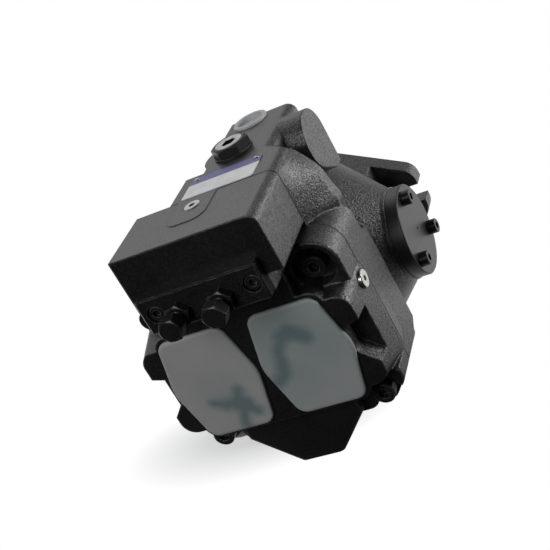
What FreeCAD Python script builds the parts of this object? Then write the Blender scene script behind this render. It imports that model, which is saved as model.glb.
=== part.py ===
import FreeCAD, Part
import os
from math import acos, atan2, cos, hypot, radians, sin, sqrt, tan

os.makedirs("parts", exist_ok=True)

V = FreeCAD.Vector

# Variable axial piston pump, millimetres.
# Origin: centre of the mounting face on the drive shaft axis.
# +Y leaves the pump along the drive shaft, +Z is up, +X is to the right seen from the ports.

# Stations along the shaft, measured back from the mounting face
FLANGE_THK = 18.0
FACE_TO_TRUNNION = 89.0
FACE_TO_SEAM = 200.0
GASKET_THK = 0.8
SLAB_THK = 24.0
FLANGE_RIM = 3.0
PAD_RISE = 19.0
BLOCK_OVERHANG = 26.0
BAR_THK = 11.0

# Mounting flange, two bolt, with a round pilot
PILOT_R = 63.5
PILOT_LEN = 12.7
SLOT_PITCH = 181.0
SLOT_WIDTH = 17.5
EAR_TIP_X = 110.0
EAR_CORNER_R = 16.0
EAR_CORNER_Z = 12.4
FLANGE_CORE_R = 73.0
EAR_WALL_X = 76.0
NUT_ROOM_LEN = 19.0
NUT_ROOM_HALF_Z = 21.0
FLANK_LEN = 45.0

# Housing casting
COLLAR_HALF_X = 99.5
COLLAR_HALF_Z = 86.5
CORNER_R = 22.5
COLLAR_LOW_RISE = 3.0
CUT_CORNER_X = 23.5
CUT_CORNER_Z = 27.5
CUT_CORNER_R = 10.0
RAIL_SWELL = 2.0
RAIL_HALF_Z = 50.0
RAIL_FADE = 20.0
COLLAR_LEN = 38.0
BARREL_R = 82.0
BARREL_SHOULDER = 14.0
NECK_R = 68.0
NECK_START_Y = -44.0
BODY_LAP = 4.0
DRUM_R = 80.0
DRUM_HALF_X = 60.0
TRUNNION_BOSS_R = 42.0
TRUNNION_LIP = 2.5
TRUNNION_FACE_X = 104.0
WEB_FLAT = 13.0
WEB_FOOT_X = 80.0
WEB_FOOT_Y = -112.0
WEB_ROOT_HALF_Z = 54.0
WEB_HALF_Z = 39.0
TOP_Z = 141.0
TOP_LEFT_X = -20.5
TOP_STEP_X = -3.5
TOP_RIGHT_X = 76.0
TOP_BACK_RIGHT_X = 58.0
TOP_FRONT_LEN = 44.0
TOP_LEN = 144.0
WING_PROFILE = ((0.26, 7.0), (0.77, 26.0), (0.89, 40.0), (1.0, 51.0), (0.84, 59.0), (0.0, 65.0))
WING_REACH = 20.2
WING_TOP_DROP = 6.0
WING_THK = 12.0
WING_RUN = 30.0
SIDE_BOSS_R = 26.0
SIDE_BOSS_Y = -99.0
SIDE_BOSS_Z = 115.0
SIDE_BOSS_DROP = 36.0
SIDE_BOSS_LEN = 20.0
SIDE_TAIL_W = 14.0
TOP_EDGE_R = 9.0
FOOT_BOTTOM_Z = -107.0
FOOT_HALF_X = 21.0
FOOT_TOP_HALF_X = 53.0
FOOT_TOP_Z = -75.0
FOOT_RISE = 6.0
FOOT_EDGE_R = 4.0

# Cavity of the housing
CAVITY_R = 64.0
CAVITY_FRONT = 60.0
YOKE_POCKET_X = 69.0
YOKE_POCKET_HALF_Z = 27.0
ARM_ROOM_LEFT_X = 6.0
ARM_ROOM_RIGHT_X = 48.0
ARM_ROOM_COVER = 14.0
ARM_ROOM_ROOF_Z = TOP_Z - ARM_ROOM_COVER
ARM_ROOM_FLOOR_Z = 30.0
ARM_ROOM_FRONT = 66.0
ARM_ROOM_BACK = 138.0

# Joint between housing and port block
BOLT_INSET = 22.5
BOLT_R = 6.0
BOLT_HEAD_R = 9.5
BOLT_HEAD_H = 12.7
BOLT_SEAT_DEPTH = 9.3
BOLT_SPOT_R = 11.5
LUG_TOP_R = 12.0
LUG_INNER_X = 54.0
LUG_INNER_Z = 44.0
LUG_LOW_Z = 61.0
LUG_EDGE_R = 2.0
POCKET_R = 17.5
MIDDLE_HALF_X = 66.0
MIDDLE_CORNER_R = 12.0
BOLT_GRIP_IN_HOUSING = 28.0
HOLE_SLACK = 0.5
GASKET_DROP = 10.0

# Port block and its two four-bolt flange ports
PORT_X = 42.6
PORT_R = 25.4
PORT_DEPTH = 20.0
PORT_BOLT_HALF_X = 21.45
PORT_BOLT_HALF_Z = 38.9
PORT_BOLT_R = 6.0
PORT_BOLT_DEPTH = 20.0
PAD_INSET = 3.0
PAD_HALF_Z = 43.0
PAD_CORE_HALF_X = 78.0
PAD_CORE_HALF_Z = 53.0
PAD_CORNER_R = 13.0
NOTCH_DEPTH_X = 14.5
NOTCH_TOP_Z = 18.5
NOTCH_LOW_Z = -23.0
NOTCH_FLOOR_TOP_Z = 14.0
NOTCH_FLOOR_LOW_Z = -9.0
NOTCH_FLOOR_R = 6.0
NOTCH_LEN = 18.0
NECK_LEFT_X = -46.0
NECK_RIGHT_X = 58.0
BLOCK_LEFT_X = -53.0
BLOCK_H = 49.5
BLOCK_BOTTOM_Z = TOP_Z - BLOCK_H
CAP_PLATE_R = 11.0
CAP_LEAN = 12.3
CAP_WAIST_R = 38.0
CAP_THK = 4.0
CAP_PEG_LEN = 12.0
CAP_SLACK = 0.3

# Pressure and flow compensators
BAR_LEFT_X = -45.5
BAR_RIGHT_X = 61.5
BAR_DROP = 33.0
BAR_H = 31.0
ADJ_X = (-13.4, 24.8)
ADJ_RISE = 11.8
ADJ_R = 6.0
ADJ_HEAD_AF = 18.0
ADJ_HEAD_LEN = 12.0
ADJ_REACH = 26.0
ADJ_NUT_AF = 19.0
ADJ_NUT_TURN = 15.0
ADJ_NUT_H = 8.0
BAR_SCREW_X = (-33.0, 52.5)
BAR_SCREW_RISE = 16.0
BAR_SCREW_LEN = 20.0
BAR_SCREW_SPARE = 3.5
BAR_SCREW_R = 4.0
BAR_SCREW_HEAD_R = 6.5
BAR_SCREW_HEAD_H = 8.0
BAR_BORE_R = 7.5
BAR_BORE_DEPTH = 9.5
CHAMBER_R = 9.0
CHAMBER_DEPTH = 36.0
SPOOL_R = 6.0
SPOOL_LEN = 32.0
SPOOL_TRAVEL = 2.0
SEAT_THK = 5.0
COMP_SPRING_R = 7.5

# Trunnions, covers and their screws
COVER_R = 41.0
COVER_THK = 12.0
COVER_SPIGOT_LEN = 12.0
COVER_SCREW_PCR = 31.5
COVER_SCREW_R = 4.0
COVER_HEAD_R = 6.5
COVER_HEAD_H = 8.0
COVER_SCREW_LEN = 30.0
BUSH_R = 21.0
BUSH_LEN = 21.0
JOURNAL_R = 18.0

# Rotating group
PISTONS = 9
PITCH_R = 39.0
PISTON_R = 10.0
PISTON_LEN = 52.0
PISTON_END_THK = 12.0
PISTON_BALL_R = 6.4
PISTON_NECK_R = 4.5
PISTON_HOLLOW_R = 6.0
BLOCK_R = 53.0
BLOCK_FRONT = 108.0
BORE_DEPTH = 66.0
SLIPPER_R = 12.2
SLIPPER_BASE = 3.6
SLIPPER_HUB_R = 8.8
SLIPPER_H = 11.0
BALL_TO_FACE = 7.0
RETAINER_THK = 2.4
RETAINER_R = 54.0
GUIDE_R = 23.0
WEAR_THK = 4.0
WEAR_BORE_R = 26.5
YOKE_THK = 15.0
YOKE_R = 60.0
YOKE_BORE_R = 26.0
CHEEK_X = 56.0
CHEEK_END_X = 66.5
CHEEK_HALF_Z = 21.0
VALVE_THK = 6.0
VALVE_R = 54.0
KIDNEY_HALF_W = 5.0
FILM = 0.05

# Drive shaft and its bearings
SHAFT_END_R = 15.875
SHAFT_END_Y = 55.0
SHAFT_SEAL_R = 19.0
SHAFT_JOURNAL_R = 20.0
SHAFT_SPLINE_R = 17.5
SHAFT_TAIL_R = 12.5
SHAFT_TAIL_BACK = 219.0
KEY_W = 7.94
KEY_LEN = 32.0
KEY_END_GAP = 9.0
FRONT_BRG_R = 40.0
FRONT_BRG_Y0 = -58.0
FRONT_BRG_W = 19.8
CUP_WALL = 4.0
CUP_TAPER = 2.5
ROLLER_D = 7.0
REAR_BRG_R = 23.5
REAR_BRG_W = 16.0
REAR_RING_WALL = 4.5
SEAL_R = 27.5
SEAL_THK = 8.0
SEAL_FRONT = 6.0

# Control and bias pistons
CONTROL_X = 27.0
CONTROL_DROP = 36.0
CONTROL_Z = TOP_Z - CONTROL_DROP
CONTROL_R = 14.0
CONTROL_LEN = 52.0
CONTROL_ROD_R = 6.0
ARM_HALF_X = 9.0
ARM_HALF_Y = 7.0
ARM_ABOVE_ROD = 12.0
ARM_TOP_Z = CONTROL_Z + ARM_ABOVE_ROD
ARM_FOOT_Z = 76.0
EAR_HALF_X = 8.0
EAR_BOTTOM_Z = -75.0
BIAS_Z = -69.0
BIAS_BORE_R = 11.0
BIAS_WALL = 7.0
BIAS_ROD_R = 5.0
BIAS_HEAD_R = 9.5
BIAS_HEAD_LEN = 14.0
BIAS_SPRING_R = 9.6
BARREL_SPRING_LEN = 46.0
PORT_SWEEP = 38.0
PLATE_SWEEP = 62.0

# Plugs, plate and shipping cap on the top face
FILL_X = 18.0
FILL_Y = -131.0
FILL_THREAD_R = 13.0
FILL_HEX_AF = 30.0
FILL_HEX_H = 8.0
FILL_HEX_TURN = 10.0
FILL_HEX_BEVEL_RUN = 19.5
FILL_HEX_BEVEL_DROP = 10.0
FILL_KEY_AF = 12.0
FILL_KEY_DEPTH = 6.0
FILL_BOSS_R = 27.0
WASHER_R = 17.5
WASHER_THK = 1.5
DRAIN_X = 18.5
DRAIN_Y = -74.0
DRAIN_R = 13.2
DRAIN_SINK_R = 14.6
DRAIN_SINK_DEPTH = 4.0
DRAIN_CAP_R = 15.8
DRAIN_CAP_THK = 2.5
TOP_PLUG_X = 6.0
TOP_PLUG_Y = -216.0
TOP_PLUG_R = 7.5
PLUG_PAD_HALF_X = 18.0
PLUG_PAD_LEN = 27.0
PLUG_PAD_R = 12.0
PLUG_PAD_RISE = 0.6
SIDE_PLUG_Y = -209.2
SIDE_PLUG_Z = 32.4
SIDE_PLUG_RISE = 1.8
SIDE_PLUG_R = 7.7
SIDE_PLUG_DEPTH = 12.0
PLATE_X0 = -10.5
PLATE_X1 = 55.5
PLATE_LEN = 35.0
PLATE_THK = 0.8
PLATE_EDGE = 1.5
RIVET_R = 2.0

# Stations worked out from the lengths above
SEAM_Y = -FACE_TO_SEAM
BLOCK_FACE_Y = SEAM_Y - GASKET_THK
SLAB_FRONT_Y = BLOCK_FACE_Y - SLAB_THK
PAD_Y = SLAB_FRONT_Y - PAD_RISE
BAR_TOP_Z = TOP_Z - BAR_DROP
BAR_BOTTOM_Z = BAR_TOP_Z - BAR_H
ADJ_Z = BAR_BOTTOM_Z + ADJ_RISE
BAR_SCREW_Z = BAR_BOTTOM_Z + BAR_SCREW_RISE
BLOCK_FRONT_Y = PAD_Y - BLOCK_OVERHANG
BAR_FRONT_Y = BLOCK_FRONT_Y - BAR_THK
TRUNNION_Y = -FACE_TO_TRUNNION
BOLT_SEAT_Y = SLAB_FRONT_Y + BOLT_SEAT_DEPTH
BOLT_HEAD_Y = BOLT_SEAT_Y - BOLT_HEAD_H
BOLT_X = COLLAR_HALF_X - BOLT_INSET
BOLT_Z = COLLAR_HALF_Z - BOLT_INSET
PAD_HALF_X = COLLAR_HALF_X - PAD_INSET
RAIL_HALF_X = COLLAR_HALF_X + RAIL_SWELL
COLLAR_LOW_Z = COLLAR_LOW_RISE - COLLAR_HALF_Z
WEAR_FACE_Y = TRUNNION_Y + BALL_TO_FACE
YOKE_FACE_Y = WEAR_FACE_Y + WEAR_THK


def box(x0, x1, y0, y1, z0, z1):
    return Part.makeBox(x1 - x0, y1 - y0, z1 - z0, V(x0, y0, z0))


def cyl_x(r, x0, x1, y, z):
    return Part.makeCylinder(r, x1 - x0, V(x0, y, z), V(1, 0, 0))


def cyl_y(r, y0, y1, x=0.0, z=0.0):
    return Part.makeCylinder(r, y1 - y0, V(x, y0, z), V(0, 1, 0))


def cyl_z(r, z0, z1, x, y):
    return Part.makeCylinder(r, z1 - z0, V(x, y, z0), V(0, 0, 1))


def fuse(first, *others):
    return first.multiFuse(list(others)).removeSplitter()


def mirror_x(shape):
    return shape.mirror(V(0, 0, 0), V(1, 0, 0))


def moved(shape, x=0.0, y=0.0, z=0.0):
    copy = shape.copy()
    copy.translate(V(x, y, z))
    return copy


def turned(shape, angle, axis=V(0, 1, 0), centre=V(0, 0, 0)):
    copy = shape.copy()
    copy.rotate(centre, axis, angle)
    return copy


def prism_xz(points, y0, y1):
    """Closed outline of (x, z) points, drawn along Y."""
    wire = Part.makePolygon([V(x, y0, z) for x, z in points + points[:1]])
    return Part.Face(wire).extrude(V(0, y1 - y0, 0))


def prism_yz(points, x0, x1):
    wire = Part.makePolygon([V(x0, y, z) for y, z in points + points[:1]])
    return Part.Face(wire).extrude(V(x1 - x0, 0, 0))


def prism_xy(points, z0, z1):
    wire = Part.makePolygon([V(x, y, z0) for x, y in points + points[:1]])
    return Part.Face(wire).extrude(V(0, 0, z1 - z0))


def turning(points, x=0.0, z=0.0):
    """Solid of revolution about a line along Y, from (radius, y) points."""
    wire = Part.makePolygon([V(x + r, y, z) for r, y in points + points[:1]])
    return Part.Face(wire).revolve(V(x, 0, z), V(0, 1, 0), 360)


def rounded(half_x, half_z, r, y0, y1):
    """Rounded rectangle about the shaft axis, drawn along Y."""
    solid = box(-half_x, half_x, y0, y1, -half_z, half_z)
    return solid.makeFillet(r, edges_along(solid, V(0, 1, 0)))


def rounded_wire(half_x, half_z, r, y):
    """Outline of a rounded rectangle about the shaft axis, at one station."""
    ix = half_x - r
    iz = half_z - r
    mid = r * cos(radians(45))
    edges = []
    for sx, sz in ((1, 1), (1, -1), (-1, -1), (-1, 1)):
        ends = [V(sx * ix, y, sz * half_z), V(sx * half_x, y, sz * iz)]
        if sx * sz < 0:
            ends.reverse()
        if edges:
            edges.append(Part.LineSegment(last, ends[0]).toShape())
        edges.append(Part.Arc(ends[0], V(sx * (ix + mid), y, sz * (iz + mid)), ends[1]).toShape())
        last = ends[1]
    edges.append(Part.LineSegment(last, V(ix, y, half_z)).toShape())
    return Part.Wire(edges)


def collar_outline(y0, y1):
    """Square outline of the seam: round above the right bolt, cut off at the other three corners."""
    cut_x = COLLAR_HALF_X - CUT_CORNER_X
    top_z = COLLAR_HALF_Z - CUT_CORNER_Z
    low_z = COLLAR_LOW_Z + CUT_CORNER_Z
    solid = prism_xz([(-cut_x, COLLAR_HALF_Z), (COLLAR_HALF_X, COLLAR_HALF_Z), (COLLAR_HALF_X, low_z),
                      (cut_x, COLLAR_LOW_Z), (-cut_x, COLLAR_LOW_Z), (-COLLAR_HALF_X, low_z),
                      (-COLLAR_HALF_X, top_z)], y0, y1)
    solid = solid.makeFillet(CORNER_R, edges_along(solid, V(0, 1, 0), lambda c: c.x > 0 and c.z > 0))
    return solid.makeFillet(CUT_CORNER_R, edges_along(solid, V(0, 1, 0), lambda c: c.x < 0 or c.z < 0))


def side_rails(half_x, half_z, y0, half_x1, half_z1, y1):
    """Tapering rail across the whole width, whose ends are the swollen sides."""
    return Part.makeLoft([rounded_wire(half_x, half_z, PAD_CORNER_R, y0),
                          rounded_wire(half_x1, half_z1, PAD_CORNER_R, y1)], True, True)


def edges_along(solid, direction, keep=lambda centre: True):
    found = []
    for edge in solid.Edges:
        if not isinstance(edge.Curve, Part.Line):
            continue
        along = edge.Curve.Direction.cross(direction).Length < 1e-6
        if along and keep(edge.CenterOfMass):
            found.append(edge)
    return found


def hexagon_y(af, y0, y1, x, z, turn=0.0):
    r = af / 2 / cos(radians(30))
    points = [(x + r * cos(radians(60 * i + turn)), z + r * sin(radians(60 * i + turn))) for i in range(6)]
    return prism_xz(points, y0, y1)


def hexagon_z(af, z0, z1, x, y, turn=0.0):
    r = af / 2 / cos(radians(30))
    points = [(x + r * cos(radians(60 * i + turn)), y + r * sin(radians(60 * i + turn))) for i in range(6)]
    return prism_xy(points, z0, z1)


def socket_screw(r, head_r, head_h, length):
    """Socket head cap screw, head at negative Y, under-head plane at Y = 0."""
    chamfer = head_r * 0.08
    profile = [(0, -head_h), (head_r - chamfer, -head_h), (head_r, -head_h + chamfer), (head_r, 0),
               (r, 0), (r, length - 1), (r - 1, length), (0, length)]
    return turning(profile).cut(hexagon_y(head_r * 0.95, -head_h - 1, -head_h * 0.45, 0, 0))


def four_corners(half_x, half_z):
    return [(sx * half_x, sz * half_z) for sx in (-1, 1) for sz in (-1, 1)]


def cast_foot(y0, y1, edge_r):
    """Tapered foot under the pump, with rounded flanks on its outer face."""
    points = [(-FOOT_TOP_HALF_X, -COLLAR_HALF_Z / 2), (-FOOT_TOP_HALF_X, FOOT_TOP_Z),
              (-FOOT_HALF_X, FOOT_BOTTOM_Z),
              (FOOT_HALF_X, FOOT_BOTTOM_Z), (FOOT_TOP_HALF_X, FOOT_TOP_Z),
              (FOOT_TOP_HALF_X, -COLLAR_HALF_Z / 2)]
    solid = prism_xz(points, y0, y1)
    if edge_r == 0:
        return solid
    edges = [e for e in solid.Edges if abs(e.CenterOfMass.y - y0) < 1e-6 and e.CenterOfMass.z < FOOT_TOP_Z
             and e.CenterOfMass.z > FOOT_BOTTOM_Z + 1]
    return solid.makeFillet(edge_r, edges)


def flange_outline(y0, y1):
    """Two ears on a round core, joined by tangent flanks."""
    corner_x = EAR_TIP_X - EAR_CORNER_R
    lean = atan2(EAR_CORNER_Z, corner_x)
    turn = acos((FLANGE_CORE_R - EAR_CORNER_R) / hypot(corner_x, EAR_CORNER_Z)) + lean
    quarter = [(EAR_TIP_X, EAR_CORNER_Z),
               (corner_x + EAR_CORNER_R * cos(turn), EAR_CORNER_Z + EAR_CORNER_R * sin(turn)),
               (FLANGE_CORE_R * cos(turn), FLANGE_CORE_R * sin(turn))]
    outline = []
    for sx, sz in ((1, 1), (-1, 1), (-1, -1), (1, -1)):
        points = [(sx * x, sz * z) for x, z in quarter]
        outline += points if sx * sz > 0 else points[::-1]
    core = cyl_y(FLANGE_CORE_R, y0, y1)
    corners = [cyl_y(EAR_CORNER_R, y0, y1, x, z) for x, z in four_corners(corner_x, EAR_CORNER_Z)]
    return fuse(core, prism_xz(outline, y0, y1), *corners)


def ear_slots(y0, y1):
    """Slots open to the ear tips, for the two mounting bolts."""
    slots = []
    for side in (-1, 1):
        inner = side * SLOT_PITCH / 2
        outer = side * (EAR_TIP_X + 5)
        slots.append(cyl_y(SLOT_WIDTH / 2, y0 - 1, y1 + 1, inner, 0))
        slots.append(box(min(inner, outer), max(inner, outer), y0 - 1, y1 + 1, -SLOT_WIDTH / 2,
                         SLOT_WIDTH / 2))
    return slots


def top_block():
    """Square head of the casting that carries the controls, stepped in behind the compensator."""
    front = SEAM_Y
    step = SEAM_Y + TOP_FRONT_LEN
    back = SEAM_Y + TOP_LEN
    low = BARREL_R * 0.5
    plan = [(TOP_LEFT_X, front), (TOP_RIGHT_X, front), (TOP_RIGHT_X, step - 2),
            (TOP_BACK_RIGHT_X, step + 14),
            (TOP_BACK_RIGHT_X, back), (TOP_STEP_X, back), (TOP_STEP_X, step), (TOP_LEFT_X, step)]
    head = prism_xy(plan, low, TOP_Z)
    top_edges = [e for e in head.Edges if abs(e.CenterOfMass.z - TOP_Z) < 1e-6]
    right_edges = [e for e in top_edges if e.CenterOfMass.x > TOP_BACK_RIGHT_X - 1]
    head = head.makeFillet(TOP_EDGE_R, right_edges)
    back_edges = edges_along(head, V(0, 0, 1), lambda c: c.y > back - 1)
    head = head.makeFillet(TOP_EDGE_R, [e for e in back_edges if e.CenterOfMass.x > 0])
    boss = cyl_z(FILL_BOSS_R, low, TOP_Z, FILL_X, FILL_Y)
    return fuse(head, boss, side_wing())


def side_wing():
    """Wing that flares from the head's right wall back to a ridge behind the collar's shoulder."""
    ridge = SEAM_Y + TOP_FRONT_LEN
    top = TOP_Z - WING_TOP_DROP

    def section(y, reach):
        outer = [V(TOP_RIGHT_X, y, top)]
        outer += [V(TOP_RIGHT_X + out * reach, y, top - drop) for out, drop in WING_PROFILE]
        curve = Part.BSplineCurve()
        curve.interpolate(outer)
        inner = [outer[-1], V(DRUM_HALF_X, y, outer[-1].z), V(DRUM_HALF_X, y, top), outer[0]]
        return Part.Wire([curve.toShape(), *Part.makePolygon(inner).Edges])
    flare = Part.makeLoft([section(ridge - WING_THK - WING_RUN, 0.3),
                           section(ridge - WING_THK, WING_REACH)], True, True)
    back = Part.makeLoft([section(ridge - WING_THK, WING_REACH), section(ridge, WING_REACH)], True, True)
    return fuse(flare, back)


def trunnion_side():
    """Right half of the body round the trunnions, a cone that ends in the cover's seat."""
    lip_x = TRUNNION_FACE_X - TRUNNION_LIP
    wire = Part.makePolygon([V(0, TRUNNION_Y, 0), V(0, TRUNNION_Y + DRUM_R, 0),
                             V(DRUM_HALF_X, TRUNNION_Y + DRUM_R, 0),
                             V(lip_x, TRUNNION_Y + TRUNNION_BOSS_R - 1, 0),
                             V(lip_x, TRUNNION_Y + TRUNNION_BOSS_R, 0),
                             V(TRUNNION_FACE_X, TRUNNION_Y + TRUNNION_BOSS_R, 0),
                             V(TRUNNION_FACE_X, TRUNNION_Y, 0),
                             V(0, TRUNNION_Y, 0)])
    cone = Part.Face(wire).revolve(V(0, TRUNNION_Y, 0), V(1, 0, 0), 360)
    return fuse(cone, collar_web())


def collar_web():
    """Sloping shoulder from the collar's side down to the trunnion cone."""
    back = SEAM_Y + COLLAR_LEN - 2
    slope = prism_xy([(DRUM_HALF_X, back), (COLLAR_HALF_X, back), (COLLAR_HALF_X, back + WEB_FLAT),
                      (WEB_FOOT_X, WEB_FOOT_Y), (DRUM_HALF_X, WEB_FOOT_Y)], -COLLAR_HALF_Z, COLLAR_HALF_Z)
    neck_y = (back + WEB_FOOT_Y) / 2
    outline = prism_yz([(back - 1, WEB_ROOT_HALF_Z), (neck_y, WEB_HALF_Z), (WEB_FOOT_Y, WEB_HALF_Z),
                        (WEB_FOOT_Y, -WEB_HALF_Z), (neck_y, -WEB_HALF_Z), (back - 1, -WEB_ROOT_HALF_Z)],
                       DRUM_HALF_X - 1, COLLAR_HALF_X + 1)
    return slope.common(outline)


def side_boss():
    """Round blind boss on the head's right side, with a tail that runs down into the body."""
    low = SIDE_BOSS_Z - SIDE_BOSS_DROP
    disc = cyl_x(SIDE_BOSS_R, TOP_BACK_RIGHT_X - SIDE_BOSS_LEN, TOP_RIGHT_X, SIDE_BOSS_Y, SIDE_BOSS_Z)
    edge_y = SIDE_BOSS_Y + SIDE_BOSS_R
    tail = prism_yz([(SIDE_BOSS_Y, SIDE_BOSS_Z), (edge_y, SIDE_BOSS_Z), (edge_y, low),
                     (edge_y - SIDE_TAIL_W, low),
                     (SIDE_BOSS_Y - SIDE_BOSS_R * 0.5, SIDE_BOSS_Z - SIDE_BOSS_R * 0.87)],
                    TOP_BACK_RIGHT_X - SIDE_BOSS_LEN, TOP_RIGHT_X)
    return fuse(disc, tail)


def housing():
    collar = collar_outline(SEAM_Y, SEAM_Y + COLLAR_LEN)
    rails = side_rails(RAIL_HALF_X, RAIL_HALF_Z, SEAM_Y, COLLAR_HALF_X - 0.5, RAIL_HALF_Z - 8,
                       SEAM_Y + RAIL_FADE)
    back = SEAM_Y + COLLAR_LEN
    barrel = turning([(0, back - BODY_LAP), (BARREL_R, back - BODY_LAP),
                      (BARREL_R, TRUNNION_Y + BARREL_SHOULDER), (NECK_R, NECK_START_Y),
                      (NECK_R, -FLANGE_THK / 2), (0, -FLANGE_THK / 2)])
    side = trunnion_side()
    flange = flange_outline(-FLANGE_THK, 0)
    flanks = flange_outline(-FLANK_LEN, -FLANGE_THK).common(
        box(-EAR_WALL_X, EAR_WALL_X, -FLANK_LEN, -FLANGE_THK, -FLANGE_CORE_R, FLANGE_CORE_R))
    pilot = turning([(0, -1), (PILOT_R, -1), (PILOT_R, PILOT_LEN - 1), (PILOT_R - 1, PILOT_LEN),
                     (0, PILOT_LEN)])
    bias_boss = cyl_y(BIAS_BORE_R + BIAS_WALL, SEAM_Y, -CAVITY_FRONT + 4, 0, BIAS_Z)
    foot = cast_foot(SEAM_Y, SEAM_Y + COLLAR_LEN * 0.6, 0)
    body = fuse(collar, rails, barrel, side, mirror_x(side), flange, flanks, pilot, top_block(),
                side_boss(), bias_boss, foot)

    nut_room = box(EAR_WALL_X, EAR_TIP_X, -FLANGE_THK - NUT_ROOM_LEN, -FLANGE_THK, -NUT_ROOM_HALF_Z,
                   NUT_ROOM_HALF_Z)
    cavity = cyl_y(CAVITY_R, SEAM_Y - 1, -CAVITY_FRONT)
    pocket = box(-YOKE_POCKET_X, YOKE_POCKET_X, -BLOCK_FRONT - 4, -CAVITY_FRONT, -YOKE_POCKET_HALF_Z,
                 YOKE_POCKET_HALF_Z)
    arm_room = box(ARM_ROOM_LEFT_X, ARM_ROOM_RIGHT_X, -ARM_ROOM_BACK, -ARM_ROOM_FRONT, ARM_ROOM_FLOOR_Z,
                   ARM_ROOM_ROOF_Z)
    control_bore = cyl_y(CONTROL_R + FILM, SEAM_Y - 1, -ARM_ROOM_BACK + 1, CONTROL_X, CONTROL_Z)
    bias_bore = cyl_y(BIAS_BORE_R, SEAM_Y - 1, -CAVITY_FRONT - 2, 0, BIAS_Z)
    trunnion_bore = cyl_x(BUSH_R, -TRUNNION_FACE_X - 1, TRUNNION_FACE_X + 1, TRUNNION_Y, 0)
    bearing_bore = cyl_y(FRONT_BRG_R, -CAVITY_FRONT - 1, FRONT_BRG_Y0 + FRONT_BRG_W)
    shaft_bore = cyl_y(SHAFT_SEAL_R + 4, FRONT_BRG_Y0, PILOT_LEN + 1)
    seal_bore = cyl_y(SEAL_R, PILOT_LEN - SEAL_FRONT - SEAL_THK - 1.6, PILOT_LEN + 1)
    bolt_holes = [cyl_y(BOLT_R, SEAM_Y - 1, SEAM_Y + BOLT_GRIP_IN_HOUSING + 4, x, z)
                  for x, z in four_corners(BOLT_X, BOLT_Z)]
    cover_holes = [screw_hole(side, a) for side in (-1, 1) for a in (90, 210, 330)]
    fill_hole = cyl_z(FILL_THREAD_R, ARM_ROOM_ROOF_Z - 5, TOP_Z + 1, FILL_X, FILL_Y)
    drain_hole = cyl_z(DRAIN_R, ARM_ROOM_ROOF_Z - 1, TOP_Z + 1, DRAIN_X, DRAIN_Y)
    drain_sink = cyl_z(DRAIN_SINK_R, TOP_Z - DRAIN_SINK_DEPTH, TOP_Z + 1, DRAIN_X, DRAIN_Y)
    return body.cut([cavity, pocket, arm_room, control_bore, bias_bore, trunnion_bore, bearing_bore,
                     shaft_bore,
                     seal_bore, fill_hole, drain_hole, drain_sink, nut_room, mirror_x(nut_room),
                     *ear_slots(-FLANGE_THK, 0),
                     *bolt_holes, *cover_holes]).removeSplitter()


def screw_hole(side, angle):
    y = TRUNNION_Y + COVER_SCREW_PCR * cos(radians(angle))
    z = COVER_SCREW_PCR * sin(radians(angle))
    depth = COVER_SCREW_LEN - COVER_THK + 3
    x0 = TRUNNION_FACE_X - depth if side > 0 else -TRUNNION_FACE_X - 1
    return cyl_x(COVER_SCREW_R, x0, x0 + depth + 1, y, z)


def kidney(y0, y1, half_w, sweep):
    """Curved slot on the piston pitch circle, centred on +X."""
    ring = cyl_y(PITCH_R + half_w, y0, y1).cut(cyl_y(PITCH_R - half_w, y0 - 1, y1 + 1))
    reach = 2 * BLOCK_R
    wedge = prism_xz([(0, 0), (reach * cos(radians(sweep)), -reach * sin(radians(sweep))),
                      (reach, 0), (reach * cos(radians(sweep)), reach * sin(radians(sweep)))], y0, y1)
    slot = ring.common(wedge)
    ends = [cyl_y(half_w, y0, y1, PITCH_R * cos(radians(s * sweep)), PITCH_R * sin(radians(s * sweep)))
            for s in (-1, 1)]
    return fuse(slot, *ends)


def compensator_head():
    """Square block above the ports that holds the two spools."""
    block = box(BLOCK_LEFT_X, TOP_RIGHT_X, BLOCK_FRONT_Y, BLOCK_FACE_Y, BLOCK_BOTTOM_Z, TOP_Z)
    long_edge = edges_along(block, V(0, 1, 0), lambda c: c.x > 0 and c.z > TOP_Z - 1)
    block = block.makeFillet(TOP_EDGE_R, long_edge)
    neck = box(NECK_LEFT_X, NECK_RIGHT_X, PAD_Y, BLOCK_FACE_Y, 0, BLOCK_BOTTOM_Z + 1)
    backing = box(BAR_LEFT_X, BAR_RIGHT_X, BLOCK_FRONT_Y, PAD_Y + 1, BAR_BOTTOM_Z, BLOCK_BOTTOM_Z + 1)
    plug_pad = box(TOP_PLUG_X - PLUG_PAD_HALF_X, TOP_PLUG_X + PLUG_PAD_HALF_X, TOP_PLUG_Y - PLUG_PAD_LEN,
                   BLOCK_FACE_Y, TOP_Z - 1, TOP_Z + PLUG_PAD_RISE)
    plug_pad = plug_pad.makeFillet(PLUG_PAD_R, edges_along(plug_pad, V(0, 0, 1), lambda c: c.y < TOP_PLUG_Y))
    return fuse(block, neck, backing, plug_pad)


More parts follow.
